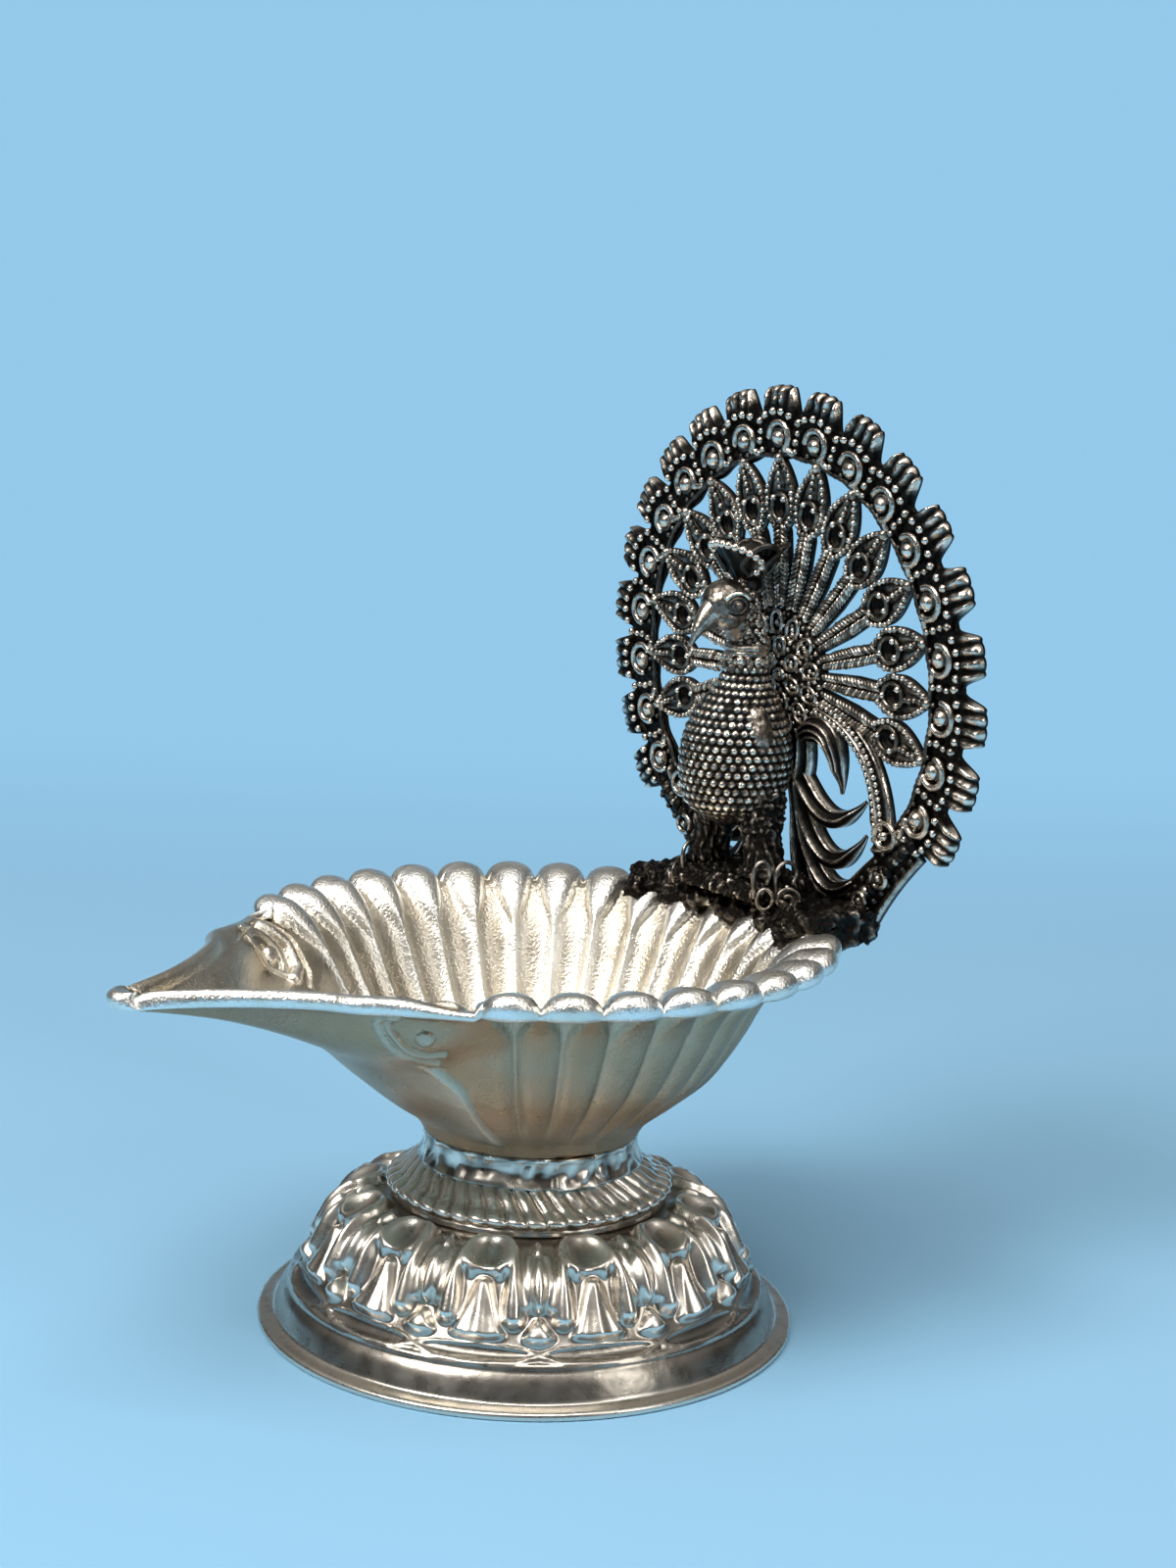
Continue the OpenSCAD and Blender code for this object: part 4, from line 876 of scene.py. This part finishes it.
# sections of the body and neck by share of height: width, depth, and how far their centres lie back
SECTION_Z = [0, 0.025, 0.08, 0.16, 0.27, 0.4, 0.52, 0.63, 0.72, 0.8, 0.88, 1]
SECTION_W = [0.16, 0.42, 0.68, 0.86, 0.96, 1, 0.95, 0.83, 0.67, 0.51, 0.41, 0.37]
SECTION_D = [0.18, 0.44, 0.7, 0.87, 0.96, 1, 0.95, 0.83, 0.66, 0.5, 0.39, 0.35]
SECTION_BACK = [0.02, 0.01, 0, -0.01, -0.01, 0, 0, 0.01, 0.025, 0.045, 0.06, 0.065]
BODY_W, BODY_D = 12.3, 13.0
BODY_LOW, BODY_HIGH = box_mm("body")
BODY_Z, NECK_TOP = BODY_LOW[2], BODY_HIGH[2]
BODY_H, BODY_Y = NECK_TOP - BODY_Z, (BODY_LOW[1] + BODY_HIGH[1]) / 2 + 0.3


def body_line(n):
    """Smooth sections: run up the side, height, half width, half depth and centre, n of them."""
    z = np.linspace(0, 1, 2000)
    w = pchip(SECTION_Z, SECTION_W, z) * BODY_W / 2
    d = pchip(SECTION_Z, SECTION_D, z) * BODY_D / 2
    b = pchip(SECTION_Z, SECTION_BACK, z) * BODY_D
    run = np.r_[0, np.cumsum(np.hypot(np.diff(z) * BODY_H, np.diff((w + d) / 2)))]
    s = np.linspace(0, run[-1], n)
    z, w, d, b = (np.interp(s, run, f) for f in (z, w, d, b))
    return s, z * BODY_H + BODY_Z, w, d, b + BODY_Y


def body():
    """Body and neck under a mail of round scales, with a smooth wing bud on each side."""
    run, z, w, d, cy = body_line(250)
    t = np.linspace(0, FULL, 460, endpoint=False)
    p = np.stack([w[:, None] * np.cos(t), cy[:, None] + d[:, None] * np.sin(t),
                  np.repeat(z[:, None], len(t), 1)], -1)
    n = unit(np.cross(np.roll(p, -1, 1) - np.roll(p, 1, 1), np.gradient(p, axis=0)))
    pitch, size = 0.98, 0.56
    h = np.zeros(p.shape[:2])
    for k in (np.floor(run / pitch) + dk for dk in (-1, 0, 1)):
        level = (k + 0.5) * pitch
        ww, dd = np.interp(level, run, w), np.interp(level, run, d)
        round_len = np.pi * (3 * (ww + dd) - np.sqrt((3 * ww + dd) * (ww + 3 * dd)))
        count = np.select([round_len > 33, round_len > 25, round_len > 18.5], [36, 30, 24], 19)
        a = t[None] / FULL * count[:, None] + (k % 2 * 0.5)[:, None]
        near = (a - np.round(a)) * (round_len / count)[:, None]
        h = np.maximum(h, dome(np.hypot(near, (run - level)[:, None] * 1.05) / size))
    bud = np.hypot((p[..., 1] - 27.0) / 1.25, (p[..., 2] - 67.8) / 2.3)
    wing = smooth((1.25 - bud) / 0.4)
    low = smooth((z - BODY_Z - 1.2) / 1.5)[:, None]
    relief = mix(0.5 * h * low, 0.55 * hill(bud / 1.5) + 0.15, wing) + 0.03 * lumps(p, 0.9, 17)
    wear_and_painted_light = mix(np.clip(h ** 2 * (1.05 + 0.3 * lumps(p, 1.6, 18)), 0, 1), 0.6 + 0.2 * lumps(p, 1.2, 19), wing)
    return Shape().grid(p + n * relief[..., None], wear_and_painted_light)


HEAD_R = 3.1
NECK_Y = BODY_Y + SECTION_BACK[-1] * BODY_D
HEAD_Y = NECK_Y - HEAD_R * 1.05
HEAD_Z = NECK_TOP + 1.1 + HEAD_R * 1.55
BEAK_TIP = np.array([0, 20.1, 77.15])


def cone_path(a, b, ra, rb, n, sag=(0, 0, 0)):
    """Path from a to b that sags between them, and radii that run from ra to rb."""
    t = np.linspace(0, 1, n)
    p = mix(np.array(a, float), np.array(b, float), t[:, None]) + np.array(sag) * np.sin(np.pi * t)[:, None]
    return p, mix(ra, rb, t)


def head():
    """Smooth skull with a pointed beak, eyes in almond rings and grains down its back."""
    raw, s = Shape(), Shape()
    c = np.array([0, HEAD_Y, HEAD_Z])
    raw.balls(c + [0, -0.15, 0.1], [[2.95, 3.2, 3.0]], level=3)
    raw.balls(c + [0, 1.6, -0.4], [[2.5, 2.4, 2.7]], level=3)
    nape = cone_path(c + [0, 1.3, -1.0], [0, NECK_Y + 0.15, NECK_TOP + 0.9], 2.3, 2.05, 10, (0, 0.4, 0))
    raw.tube(*nape, 28)
    raw.balls([c + [1.4, -0.9, -1.4], c + [-1.4, -0.9, -1.4]], [[1.35, 1.6, 1.3]], level=3)
    v, f = remeshed(raw, 0.13, 5)
    wear_and_painted_light, n = recess_wear(v, f, 0.6, 3.0)
    back = smooth((v[:, 1] - HEAD_Y - 0.9) / 0.8)
    v = v + n * (0.03 * lumps(v, 1.3, 44))[:, None]
    s.add(v, f, None, np.clip(mix(np.maximum(wear_and_painted_light, 0.66), 0.15, back), 0, 1))
    rng = np.random.default_rng(7)
    spots = []
    for i in rng.permutation(np.flatnonzero(v[:, 1] > HEAD_Y + 1.2))[:4000]:
        if len(spots) < 260 and all(abs(v[i] - q).sum() > 0.85 for q in spots):
            spots.append(v[i])
    s.balls(spots, rng.uniform(0.3, 0.42, len(spots)), wear_and_painted_light=rng.uniform(0.5, 0.95, len(spots)), level=2)
    root = c + [0, -2.3, -0.9]
    for share, wide, off, shade in ((1.0, 1.62, (0, 0.1, 0.3), 0.8), (0.9, 1.3, (0, 0.35, -0.5), 0.55)):
        tip = mix(root, BEAK_TIP, share) + np.array(off) * 0.2
        p, r = cone_path(root + off, tip, wide, 0.16, 18, (0, -0.3, 0.25))
        s.tube(p, r * (1 - 0.2 * np.linspace(0, 1, 18)), 16, shade)
    for side in (-1, 1):
        way = unit(np.array([side * 0.95, -0.2, 0.06]))
        spot = c + way * 2.93
        u = unit(np.cross(UP, way))
        up = np.cross(way, u)
        t = np.linspace(0, FULL, 30, endpoint=False)[:, None]
        for ru, rv, wire, lift, shade in ((1.12, 0.82, 0.24, -0.05, 0.45), (1.6, 1.2, 0.12, -0.2, 0.2)):
            ring = spot + way * lift + u * (ru * np.cos(t)) + up * (rv * np.sin(t)) - c
            s.tube(c + unit(ring) * (np.linalg.norm(spot - c) + lift * 0.4 + 0.12), wire, 7, shade, True)
        s.balls(spot + way * 0.02, [[0.62, 0.52, 0.5]], wear_and_painted_light=0.6, level=3)
        brow = [c + unit(way + u * a + UP * b) * 3.2
                for a, b in ((0.55, 0.3), (0.3, 0.46), (0, 0.52), (-0.3, 0.45), (-0.55, 0.28))]
        s.tube(along(brow, 0.25), 0.3, 7, 1.0)
    return s


def neck_ring():
    """Two wire rings round a core at the top of the neck, with uneven grains under them."""
    s = Shape()
    w, centre = BODY_W * SECTION_W[-1] / 2, [0, NECK_Y, NECK_TOP]
    t = np.linspace(0, FULL, 60, endpoint=False)
    core = np.array([[0.2, -0.05], [w - 0.1, -0.05], [w + 0.1, 0.3], [w + 0.1, 0.8], [w - 0.1, 1.15],
                     [0.2, 1.15]])
    s.grid(revolved(core, t) + centre, 0.15)
    for z, r in ((0.85, 0.46), (0.2, 0.38)):
        s.tube(revolved(np.array([[w + 0.05, z]]), t)[0] + centre, r, 8, 0.75, True)
    rng = np.random.default_rng(12)
    for drop, many in ((0.45, 13), (1.25, 14)):
        a = np.linspace(0, FULL, many, endpoint=False) + rng.uniform(-0.1, 0.1, many)
        out = w + 0.15 + 0.14 * drop
        s.balls(np.stack([out * np.cos(a), NECK_Y - 0.15 * drop + out * np.sin(a),
                          NECK_TOP - drop + rng.uniform(-0.15, 0.15, many)], 1),
                rng.uniform(0.42, 0.62, many), wear_and_painted_light=rng.uniform(0.5, 1.0, many), level=2)
    return s


def crest():
    """Flared cup of five petals: hollow and grooved, with a beaded edge on the front one."""
    s = Shape()
    cy, cz = HEAD_Y + HEAD_R * 0.93, HEAD_Z + HEAD_R * 0.72
    tall, radius, cols = 5.0, 5.2, 21
    v, q = np.linspace(0, 1, 26)[:, None], np.linspace(-1, 1, cols)
    rise = smooth(v / 0.3)
    cup, groove = rise * np.square(q), 0.1 * np.cos(np.pi * 4 * q) * rise
    for around, wide, spread in ((0, 4.5, 0.86), (82, 2.3, 0.84), (-82, 2.3, 0.84), (134, 2.3, 0.84),
                                 (-134, 2.3, 0.84)):
        half = wide * (0.22 + 0.78 * smooth(v / 0.6)) * dome(np.clip((v - 0.5) / 0.5, 0, 1)) + 0.04
        r = pchip([0, 0.25, 0.5, 0.76, 1], [0.34, 0.5, 0.68, 0.86, 1], v) * radius * spread
        a = math.radians(around - 90) + half * q / np.maximum(r, 1.6)

        def skin(off):
            return np.stack([(r + off) * np.cos(a), cy + (r + off) * np.sin(a),
                             np.repeat(cz + tall * v, cols, 1)], -1)

        wear_and_painted_light = np.concatenate([np.clip(0.2 + groove + 0.5 * cup ** 2, 0, 1), 0.2 + 0 * groove], 1)
        s.grid(np.concatenate([skin(0.55 * cup + groove - 0.45), skin(0.4 * cup - 0.95)[:, ::-1]], 1), wear_and_painted_light)
        rim = skin(0.15)[8:]
        edge = np.concatenate([rim[:, 0], rim[::-1, -1]])
        if around == 0:
            s.balls(spaced(edge, 0.4, 0.92), 0.5, level=2)
        else:
            s.tube(edge, 0.34, 8, 0.45)
    return s.balls([0, cy, cz + 0.3], [[1.9, 1.9, 1.3]], wear_and_painted_light=0.3, level=2)


# Legs, mound, wires and bracket

LEG_Y = BODY_Y + 0.9
MOUND_LOW, MOUND_HIGH = box_mm("perch_mound")
BRACKET_HIGH = box_mm("lip_bracket")[1]


def legs():
    """Feathered thighs that widen to the mound."""
    raw, low = Shape(), MOUND_HIGH[2]
    for side in (-1, 1):
        p, t = cone_path([side * 5.4, LEG_Y - 0.1, low - 0.1], [side * 3.7, LEG_Y, low + 9.4], 0, 1, 16)
        raw.tube(p, np.interp(t, [0, 0.1, 0.35, 0.6, 1], [2.75, 2.5, 2.15, 2.35, 2.9]), 24)
        raw.balls([side * 5.3, LEG_Y - 1.7, low + 0.35], [[1.3, 1.8, 0.6]], level=2)
    v, f = remeshed(raw, 0.16, 3)
    n = recess_wear(v, f, 0.2, 1)[1]
    a = np.arctan2(v[:, 1] - LEG_Y, np.abs(v[:, 0]) - 4.6)
    high = smooth((v[:, 2] - low - 4.6) / 1.2)
    fur = 0.13 * np.cos(a * 13 + np.sin(v[:, 2] * 1.3) * 1.6 + lumps(v, 2.4, 63)) * (1 - high)
    knobs = 0.3 * (lumps(v, 0.95, 61) > 0.45) * high
    rough = 0.16 * lumps(v, 1.1, 62)
    return Shape().add(v + n * (fur + knobs + rough)[:, None], f, None,
                       np.clip(0.22 + 1.8 * fur + 1.2 * knobs + rough, 0, 1))


def mound():
    """Lumpy soldered mound under the bird."""
    raw, rng = Shape(), np.random.default_rng(4)
    lo, hi = MOUND_LOW, MOUND_HIGH
    raw.balls([[x, y, lo[2] + 0.7] for x in (-5.2, -2.6, 0, 2.6, 5.2)
               for y in (lo[1] + 3.0, (lo[1] + hi[1]) / 2, hi[1] - 3.2)], [[3.2, 3.0, 2.0]], level=2)
    for x in np.linspace(-6.8, 6.8, 9):
        raw.balls([x, lo[1] + 0.9 + rng.uniform(-0.2, 0.3), lo[2] + 0.4],
                  [[1.1, 1.0, 1.3 + rng.uniform(-0.3, 0.4)]], level=2)
    v, f = remeshed(raw, 0.17, 2)
    v[:, 2] = np.maximum(v[:, 2], lo[2] + 0.02)
    wear_and_painted_light, n = recess_wear(v, f, 0.25, 2.5)
    bump = 0.16 * lumps(v, 1.3, 71) + 0.08 * lumps(v, 0.6, 72)
    v = v + n * bump[:, None]
    v[:, 2] = np.maximum(v[:, 2], lo[2] + 0.02)
    return Shape().add(v, f, None, np.clip(wear_and_painted_light * 0.5 + 2.4 * bump, 0, 1))


def base_scrolls():
    """Fine wire loops, rings and spirals round the bird's feet."""
    s, wire = Shape(), (0.25, 8, 0.7)
    for side in (-1, 1):
        t = np.linspace(0, np.pi, 24)
        for x, y, z, wide, tall in ((7.8 if side > 0 else 5.6, LEG_Y - 2.6, MOUND_HIGH[2] - 0.6, 1.25, 2.6),
                                    (8.2, LEG_Y + 0.8, MOUND_HIGH[2] - 0.8, 1.6, 2.5)):
            arch = np.stack([y - wide * np.cos(t), z + tall - 1.3 + 1.7 * np.sin(t)], 1)
            loop = np.concatenate([[[y - wide * 0.8, z - 1.2]], arch, [[y + wide * 0.7, z + 0.2]]])
            s.tube(along(np.insert(loop, 0, side * x, 1), 0.25), *wire)
        way = unit(np.array([side * 0.45, 0.89, 0]))
        t = np.linspace(0, FULL, 28, endpoint=False)[:, None]
        ring_at = [side * 8.5, MOUND_LOW[1] + 1.9, BRACKET_HIGH[2] + 0.4]
        s.tube(ring_at + way * (0.95 * np.cos(t)) + UP * (1.2 * np.sin(t)), *wire, True)
        t = np.linspace(0, 1, 46)[:, None]
        a, r = FULL * 1.35 * t, 1.55 * (1 - 0.72 * t)
        spiral_at = [side * 9.3, MOUND_LOW[1] + 4.6, BRACKET_HIGH[2] + 0.2]
        s.tube(spiral_at + way * (r * np.cos(a)) + UP * (r * np.sin(a)), *wire)
    return s


def bracket():
    """Cast strip over the rear lip, uneven along its front edge, with two windows."""
    raw, cutter, n = Shape(), Shape(), 120
    half_a, front_r, drop = math.radians(33), RIM_R * 0.805, 2.2
    top, under = BRACKET_HIGH[2], BRACKET_HIGH[2] - 1.5
    a = np.linspace(math.pi / 2 - half_a, math.pi / 2 + half_a, n)
    front = front_r + 0.55 * np.sin(a * 23) + 0.35 * np.sin(a * 41 + 1)
    back = np.minimum.reduce([np.full(n, RIM_R + 5.5), BRACKET_HIGH[1] / np.sin(a),
                              17.6 / np.maximum(np.abs(np.cos(a)), 1e-3)])
    step = lambda r: np.maximum(np.minimum(r, back - 0.3), front + 0.4)
    far = np.maximum(back, front + 0.4)
    rows = [(front, under - drop), (step(RIM_R * 0.88), under), (step(RIM_R + 0.36), under),
            (step(RIM_R + 0.36), under - 2.4), (far, under - 2.4), (far, top),
            (step(RIM_R * 0.86), top), (front, top - drop)]
    raw.grid(np.stack([[r * np.cos(a), r * np.sin(a), np.full(n, z)] for r, z in rows]).transpose(2, 0, 1))
    t = np.linspace(0, FULL, 32, endpoint=False)
    for side in (-1, 1):
        turn = math.radians(21) * side
        ex = 2.9 * np.sign(np.cos(t)) * np.abs(np.cos(t)) ** 0.8
        ey = RIM_R * 0.905 + 1.55 * np.sin(t) + 0.25 * np.sin(3 * t + side)
        x = ex * math.cos(turn) - ey * math.sin(turn)
        y = ex * math.sin(turn) + ey * math.cos(turn)
        cutter.grid(np.stack([np.stack([x, y, np.full(32, z)], 1) for z in (under - 6, top + 4)]))
    v, f = remeshed(raw, 0.2, 3, cutter)
    wear_and_painted_light, n = recess_wear(v, f, 0.3, 2)
    bump = 0.3 * lumps(v, 2.6, 81) + 0.14 * lumps(v, 0.9, 82)
    bump = np.minimum(bump, np.clip(BRACKET_HIGH[2] + 0.5 - v[:, 2], 0.05, 1))
    return Shape().add(v + n * bump[:, None], f, None, np.clip(0.15 + bump + 0.2 * wear_and_painted_light, 0, 1))


# Materials

class Nodes:
    """Short way to add nodes to a material's or the world's tree."""

    def __init__(self, block):
        block.use_nodes = True
        self.block, self.tree = block, block.node_tree

    def new(self, kind, settings=None, **inputs):
        node = self.tree.nodes.new(kind)
        for key, value in (settings or {}).items():
            setattr(node, key, value)
        for key, value in inputs.items():
            self.set(node.inputs[key.replace("_", " ")], value)
        return node

    def set(self, socket, value):
        if isinstance(value, bpy.types.NodeSocket):
            self.tree.links.new(value, socket)
        else:
            socket.default_value = value

    def noise(self, scale, detail=3.0):
        coord = self.new("ShaderNodeTexCoord").outputs["Object"]
        return self.new("ShaderNodeTexNoise", None, Vector=coord, Scale=scale, Detail=detail,
                        Roughness=0.55).outputs["Fac"]

    def ramp(self, value, *stops):
        node = self.new("ShaderNodeValToRGB", None, Fac=value)
        elements = node.color_ramp.elements
        while len(elements) < len(stops):
            elements.new(0.5)
        for element, (at, color) in zip(elements, stops):
            element.position, element.color = at, (*color, 1)
        return node.outputs["Color"]

    def math(self, op, *values):
        node = self.new("ShaderNodeMath", {"operation": op})
        for socket, value in zip(node.inputs, values):
            self.set(socket, value)
        return node.outputs[0]

    def wear_and_painted_light(self):
        return self.new("ShaderNodeAttribute", {"attribute_name": "wear_and_painted_light"}).outputs["Fac"]

    def tinted(self, tone, tint):
        node = self.new("ShaderNodeMix", {"data_type": "RGBA", "blend_type": "MULTIPLY"})
        for k, value in ((0, 1.0), (6, tone), (7, tint)):
            self.set(node.inputs[k], value)
        return node.outputs[2]

    def metal(self, tone, rough, *grains):
        """Bare metal; each grain is a noise's scale and detail, and its bump's strength and depth."""
        inputs = self.tree.nodes["Principled BSDF"].inputs
        inputs["Metallic"].default_value = 1.0
        self.set(inputs["Base Color"], tone)
        self.set(inputs["Roughness"], rough)
        normal = inputs["Normal"]
        for scale, detail, strength, depth in grains:
            bump = self.new("ShaderNodeBump", None, Height=self.noise(scale, detail), Strength=strength,
                            Distance=depth)
            self.set(normal, bump.outputs["Normal"])
            normal = bump.inputs["Normal"]
        return self.block


def new_material(name):
    return Nodes(bpy.data.materials.new(name))


def grey(v, warm=0.0):
    return (v * (1 + warm), v, v * (1 - warm))


def polished_silver():
    """Pressed and polished sheet, darker and slightly warm in its recesses as painted shade and a warm
    painted reflection.
    """
    m = new_material("polished_silver")
    tone = m.ramp(m.wear_and_painted_light(), (0.0, grey(0.20, 0.08)), (0.3, grey(0.44, 0.06)), (0.55, grey(0.68, 0.05)),
                  (0.85, grey(0.92, 0.04)))
    tint = m.ramp(m.noise(140.0, 4.0), (0.35, (0.95, 0.91, 0.83)), (0.65, (1.0, 0.98, 0.94)))
    rough = m.ramp(m.noise(420.0), (0.3, grey(0.24)), (0.7, grey(0.34)))
    return m.metal(m.tinted(tone, tint), rough, (330.0, 3.0, 0.14, 0.0003), (2600.0, 2.0, 0.10, 0.0001))


def satin_silver():
    """Frosted silver plate with a fine grain; its outside is painted dark brown, a dark and warm painted
    reflection.
    """
    m = new_material("satin_silver")
    # painted reflection: the dark brown low end paints the outside's dark, warm reflection
    tone = m.ramp(m.wear_and_painted_light(), (0.1, (0.47, 0.335, 0.225)), (0.5, (0.68, 0.62, 0.53)),
                  (0.72, (0.90, 0.885, 0.85)), (1.0, (0.98, 0.97, 0.95)))
    tint = m.ramp(m.noise(160.0, 5.0), (0.35, (0.90, 0.87, 0.80)), (0.62, (1.0, 1.0, 0.99)))
    rough = m.ramp(m.noise(520.0), (0.3, grey(0.27)), (0.7, grey(0.38)))
    return m.metal(m.tinted(tone, tint), rough, (420.0, 3.0, 0.25, 0.0004), (3000.0, 2.0, 0.7, 0.00016))


def oxidised_silver(name, bright, shade):
    """Blackened casting, rubbed bright where it stands out."""
    m = new_material(name)
    level = m.math("ADD", m.wear_and_painted_light(), m.math("MULTIPLY_ADD", m.noise(900.0, 4.0), 0.7, -0.35))
    # painted reflection: the warm tint of these tones, strongest on the rubbed tone, stands in for warm
    # reflected light against the blue backdrop the metal reflects
    tone = m.ramp(level, (0.3, grey(shade, 0.12)), (0.65, grey(bright * 0.18, 0.16)),
                  (0.98, grey(bright, 0.13)))
    rough = m.ramp(level, (0.1, grey(0.5)), (0.9, grey(0.24)))
    return m.metal(tone, rough, (700.0, 3.0, 0.45, 0.0004), (2400.0, 3.0, 0.3, 0.00015))


def backdrop_paint():
    """Pale paint; well behind the lamp the sheet shows its own plain colour to the camera and to metal."""
    m = new_material("backdrop_paint")
    shader, out = m.tree.nodes["Principled BSDF"], m.tree.nodes["Material Output"]
    m.set(shader.inputs["Base Color"],
          m.ramp(m.noise(1.2, 2.0), (0.3, (0.305, 0.585, 0.83)), (0.7, (0.33, 0.61, 0.86))))
    shader.inputs["Roughness"].default_value = 0.75
    shader.inputs["Specular IOR Level"].default_value = 0.2
    path = m.new("ShaderNodeLightPath").outputs
    seen = m.math("ADD", path["Is Camera Ray"], path["Is Glossy Ray"])
    seen = m.math("ADD", seen, path["Is Transmission Ray"])
    place = m.new("ShaderNodeSeparateXYZ", None, Vector=m.new("ShaderNodeTexCoord").outputs["Object"])
    far = m.new("ShaderNodeMapRange", {"interpolation_type": "SMOOTHSTEP"}, Value=place.outputs["X"],
                From_Min=0.06, From_Max=0.42)
    glow = m.new("ShaderNodeEmission", None, Color=(0.30, 0.585, 0.83, 1))
    pick = m.new("ShaderNodeMixShader", None, Fac=m.math("MULTIPLY", seen, far.outputs[0]))
    m.set(pick.inputs[1], shader.outputs[0])
    m.set(pick.inputs[2], glow.outputs[0])
    m.set(out.inputs["Surface"], pick.outputs[0])
    return m.block


# Stage, light and camera, in metres

def posed(obj, right, up, back, place):
    """Object whose own axes point along the three directions."""
    obj.matrix_world = Matrix([[right[k], up[k], back[k], place[k]] for k in range(3)] + [[0, 0, 0, 1]])


def stage():
    """Seamless sheet: a floor that curves up into a low wall far behind the lamp."""
    half_width, bend, cols = 2.2, 0.5, 12
    line = [(d, 0.0) for d in (-2.4, -1.2, -0.4, 0, 0.4, 1.2, 2.4)]
    line += [(2.6 + bend * math.sin(t), bend - bend * math.cos(t)) for t in np.linspace(0.0, np.pi / 2, 16)]
    line += [(2.6 + bend, 0.75)]
    points = [(d, w, h) for d, h in line for w in np.linspace(-half_width, half_width, cols)]
    me = bpy.data.meshes.new("backdrop")
    me.from_pydata(points, [], grid_faces(len(line), cols, False, False).tolist())
    me.polygons.foreach_set("use_smooth", np.ones(len(me.polygons), bool))
    me.materials.append(backdrop_paint())
    obj = linked("backdrop", me)
    obj.rotation_euler[2] = math.atan2(0.5862, -0.8101)


def lamp(name, azimuth, height, distance, size, power, color):
    """Softbox at an angle from the spout toward the near side, aimed at the lamp's middle."""
    light = bpy.data.lights.new(name, "AREA")
    light.shape, light.size, light.size_y = "RECTANGLE", size[0], size[1]
    light.energy, light.color = power, color
    a, h = math.radians(azimuth), math.radians(height)
    back = np.array([math.sin(a) * math.cos(h), -math.cos(a) * math.cos(h), math.sin(h)])
    right = unit(np.cross(UP, back))
    posed(linked(name, light), right, np.cross(back, right), back, UP * 0.045 + distance * back)


def world():
    """Dim room with a soft glow overhead."""
    m = Nodes(bpy.data.worlds.new("studio"))
    bpy.context.scene.world = m.block
    way = m.new("ShaderNodeSeparateXYZ", None, Vector=m.new("ShaderNodeTexCoord").outputs["Generated"])
    m.set(m.tree.nodes["Background"].inputs["Color"],
          m.ramp(way.outputs["Z"], (0.0, (0.035, 0.032, 0.028)), (0.25, (0.05, 0.047, 0.042)),
                 (0.6, (0.20, 0.195, 0.185)), (0.9, (0.45, 0.445, 0.43))))


def camera():
    """The photo's camera, as it was fitted to the foot, the bowl and the fan."""
    data = bpy.data.cameras.new("camera")
    data.sensor_width, data.lens, data.clip_start = 36.0, 56.27, 0.01
    forward = unit(np.array([-0.79836, 0.57771, -0.16993]))
    right = unit(np.cross(forward, [-0.16001, 0.06854, 0.98473]))
    obj = linked("camera", data)
    posed(obj, right, np.cross(right, forward), -forward, np.array([222.97, -155.11, 109.31]) * MM)
    bpy.context.scene.camera = obj


def build():
    polished, satin = polished_silver(), satin_silver()
    dark = oxidised_silver("dark_silver", 0.85, 0.016)
    worn = oxidised_silver("rubbed_silver", 1.0, 0.035)
    piece(foot(), "petal_foot", polished, "polished_sheet", "foot_shell")
    piece(tier(), "ribbed_tier", polished, "polished_sheet", "ribbed_shoulder")
    piece(collar(), "lapped_collar", polished, "polished_sheet", "neck_collar")
    piece(bowl(), "lobed_bowl", satin, "satin_sheet", "bowl_shell")
    piece(bracket(), "cast_bracket", dark, "dark_casting", "lip_bracket")
    piece(mound(), "soldered_mound", dark, "dark_casting", "perch_mound")
    piece(base_scrolls(), "wire_scrolls", worn, "worn_casting", "base_scrolls")
    piece(legs(), "feathered_legs", dark, "dark_casting", "legs")
    piece(body(), "scaled_body", worn, "dark_casting", "body")
    piece(neck_ring(), "neck_wires", worn, "worn_casting", "neck_ring")
    piece(head(), "peacock_head", worn, "worn_casting", "head")
    piece(crest(), "petal_crest", dark, "worn_casting", "crest")
    piece(tail_ring(), "lobed_rim", dark, "dark_casting", "tail_ring", "ring_eyes")
    piece(tail_feathers(), "tail_plumage", dark, "dark_casting", "tail_feathers")
    piece(tail_rosette(), "granulated_hub", dark, "dark_casting", "tail_rosette")
    piece(tail_arms(), "curled_arms", dark, "dark_casting", "tail_arms")
    piece(plume(1), "acanthus_right", dark, "dark_casting", "plume_right")
    piece(plume(-1), "acanthus_left", dark, "dark_casting", "plume_left")


build()
stage()
world()
lamp("key", 5, 46, 0.75, (0.34, 0.34), 3.6, (1.0, 0.985, 0.95))
lamp("overhead", 60, 76, 0.75, (0.45, 0.45), 2.2, (1.0, 0.99, 0.97))
lamp("side", 105, 30, 0.8, (0.14, 0.5), 1.1, (1.0, 0.985, 0.95))
camera()
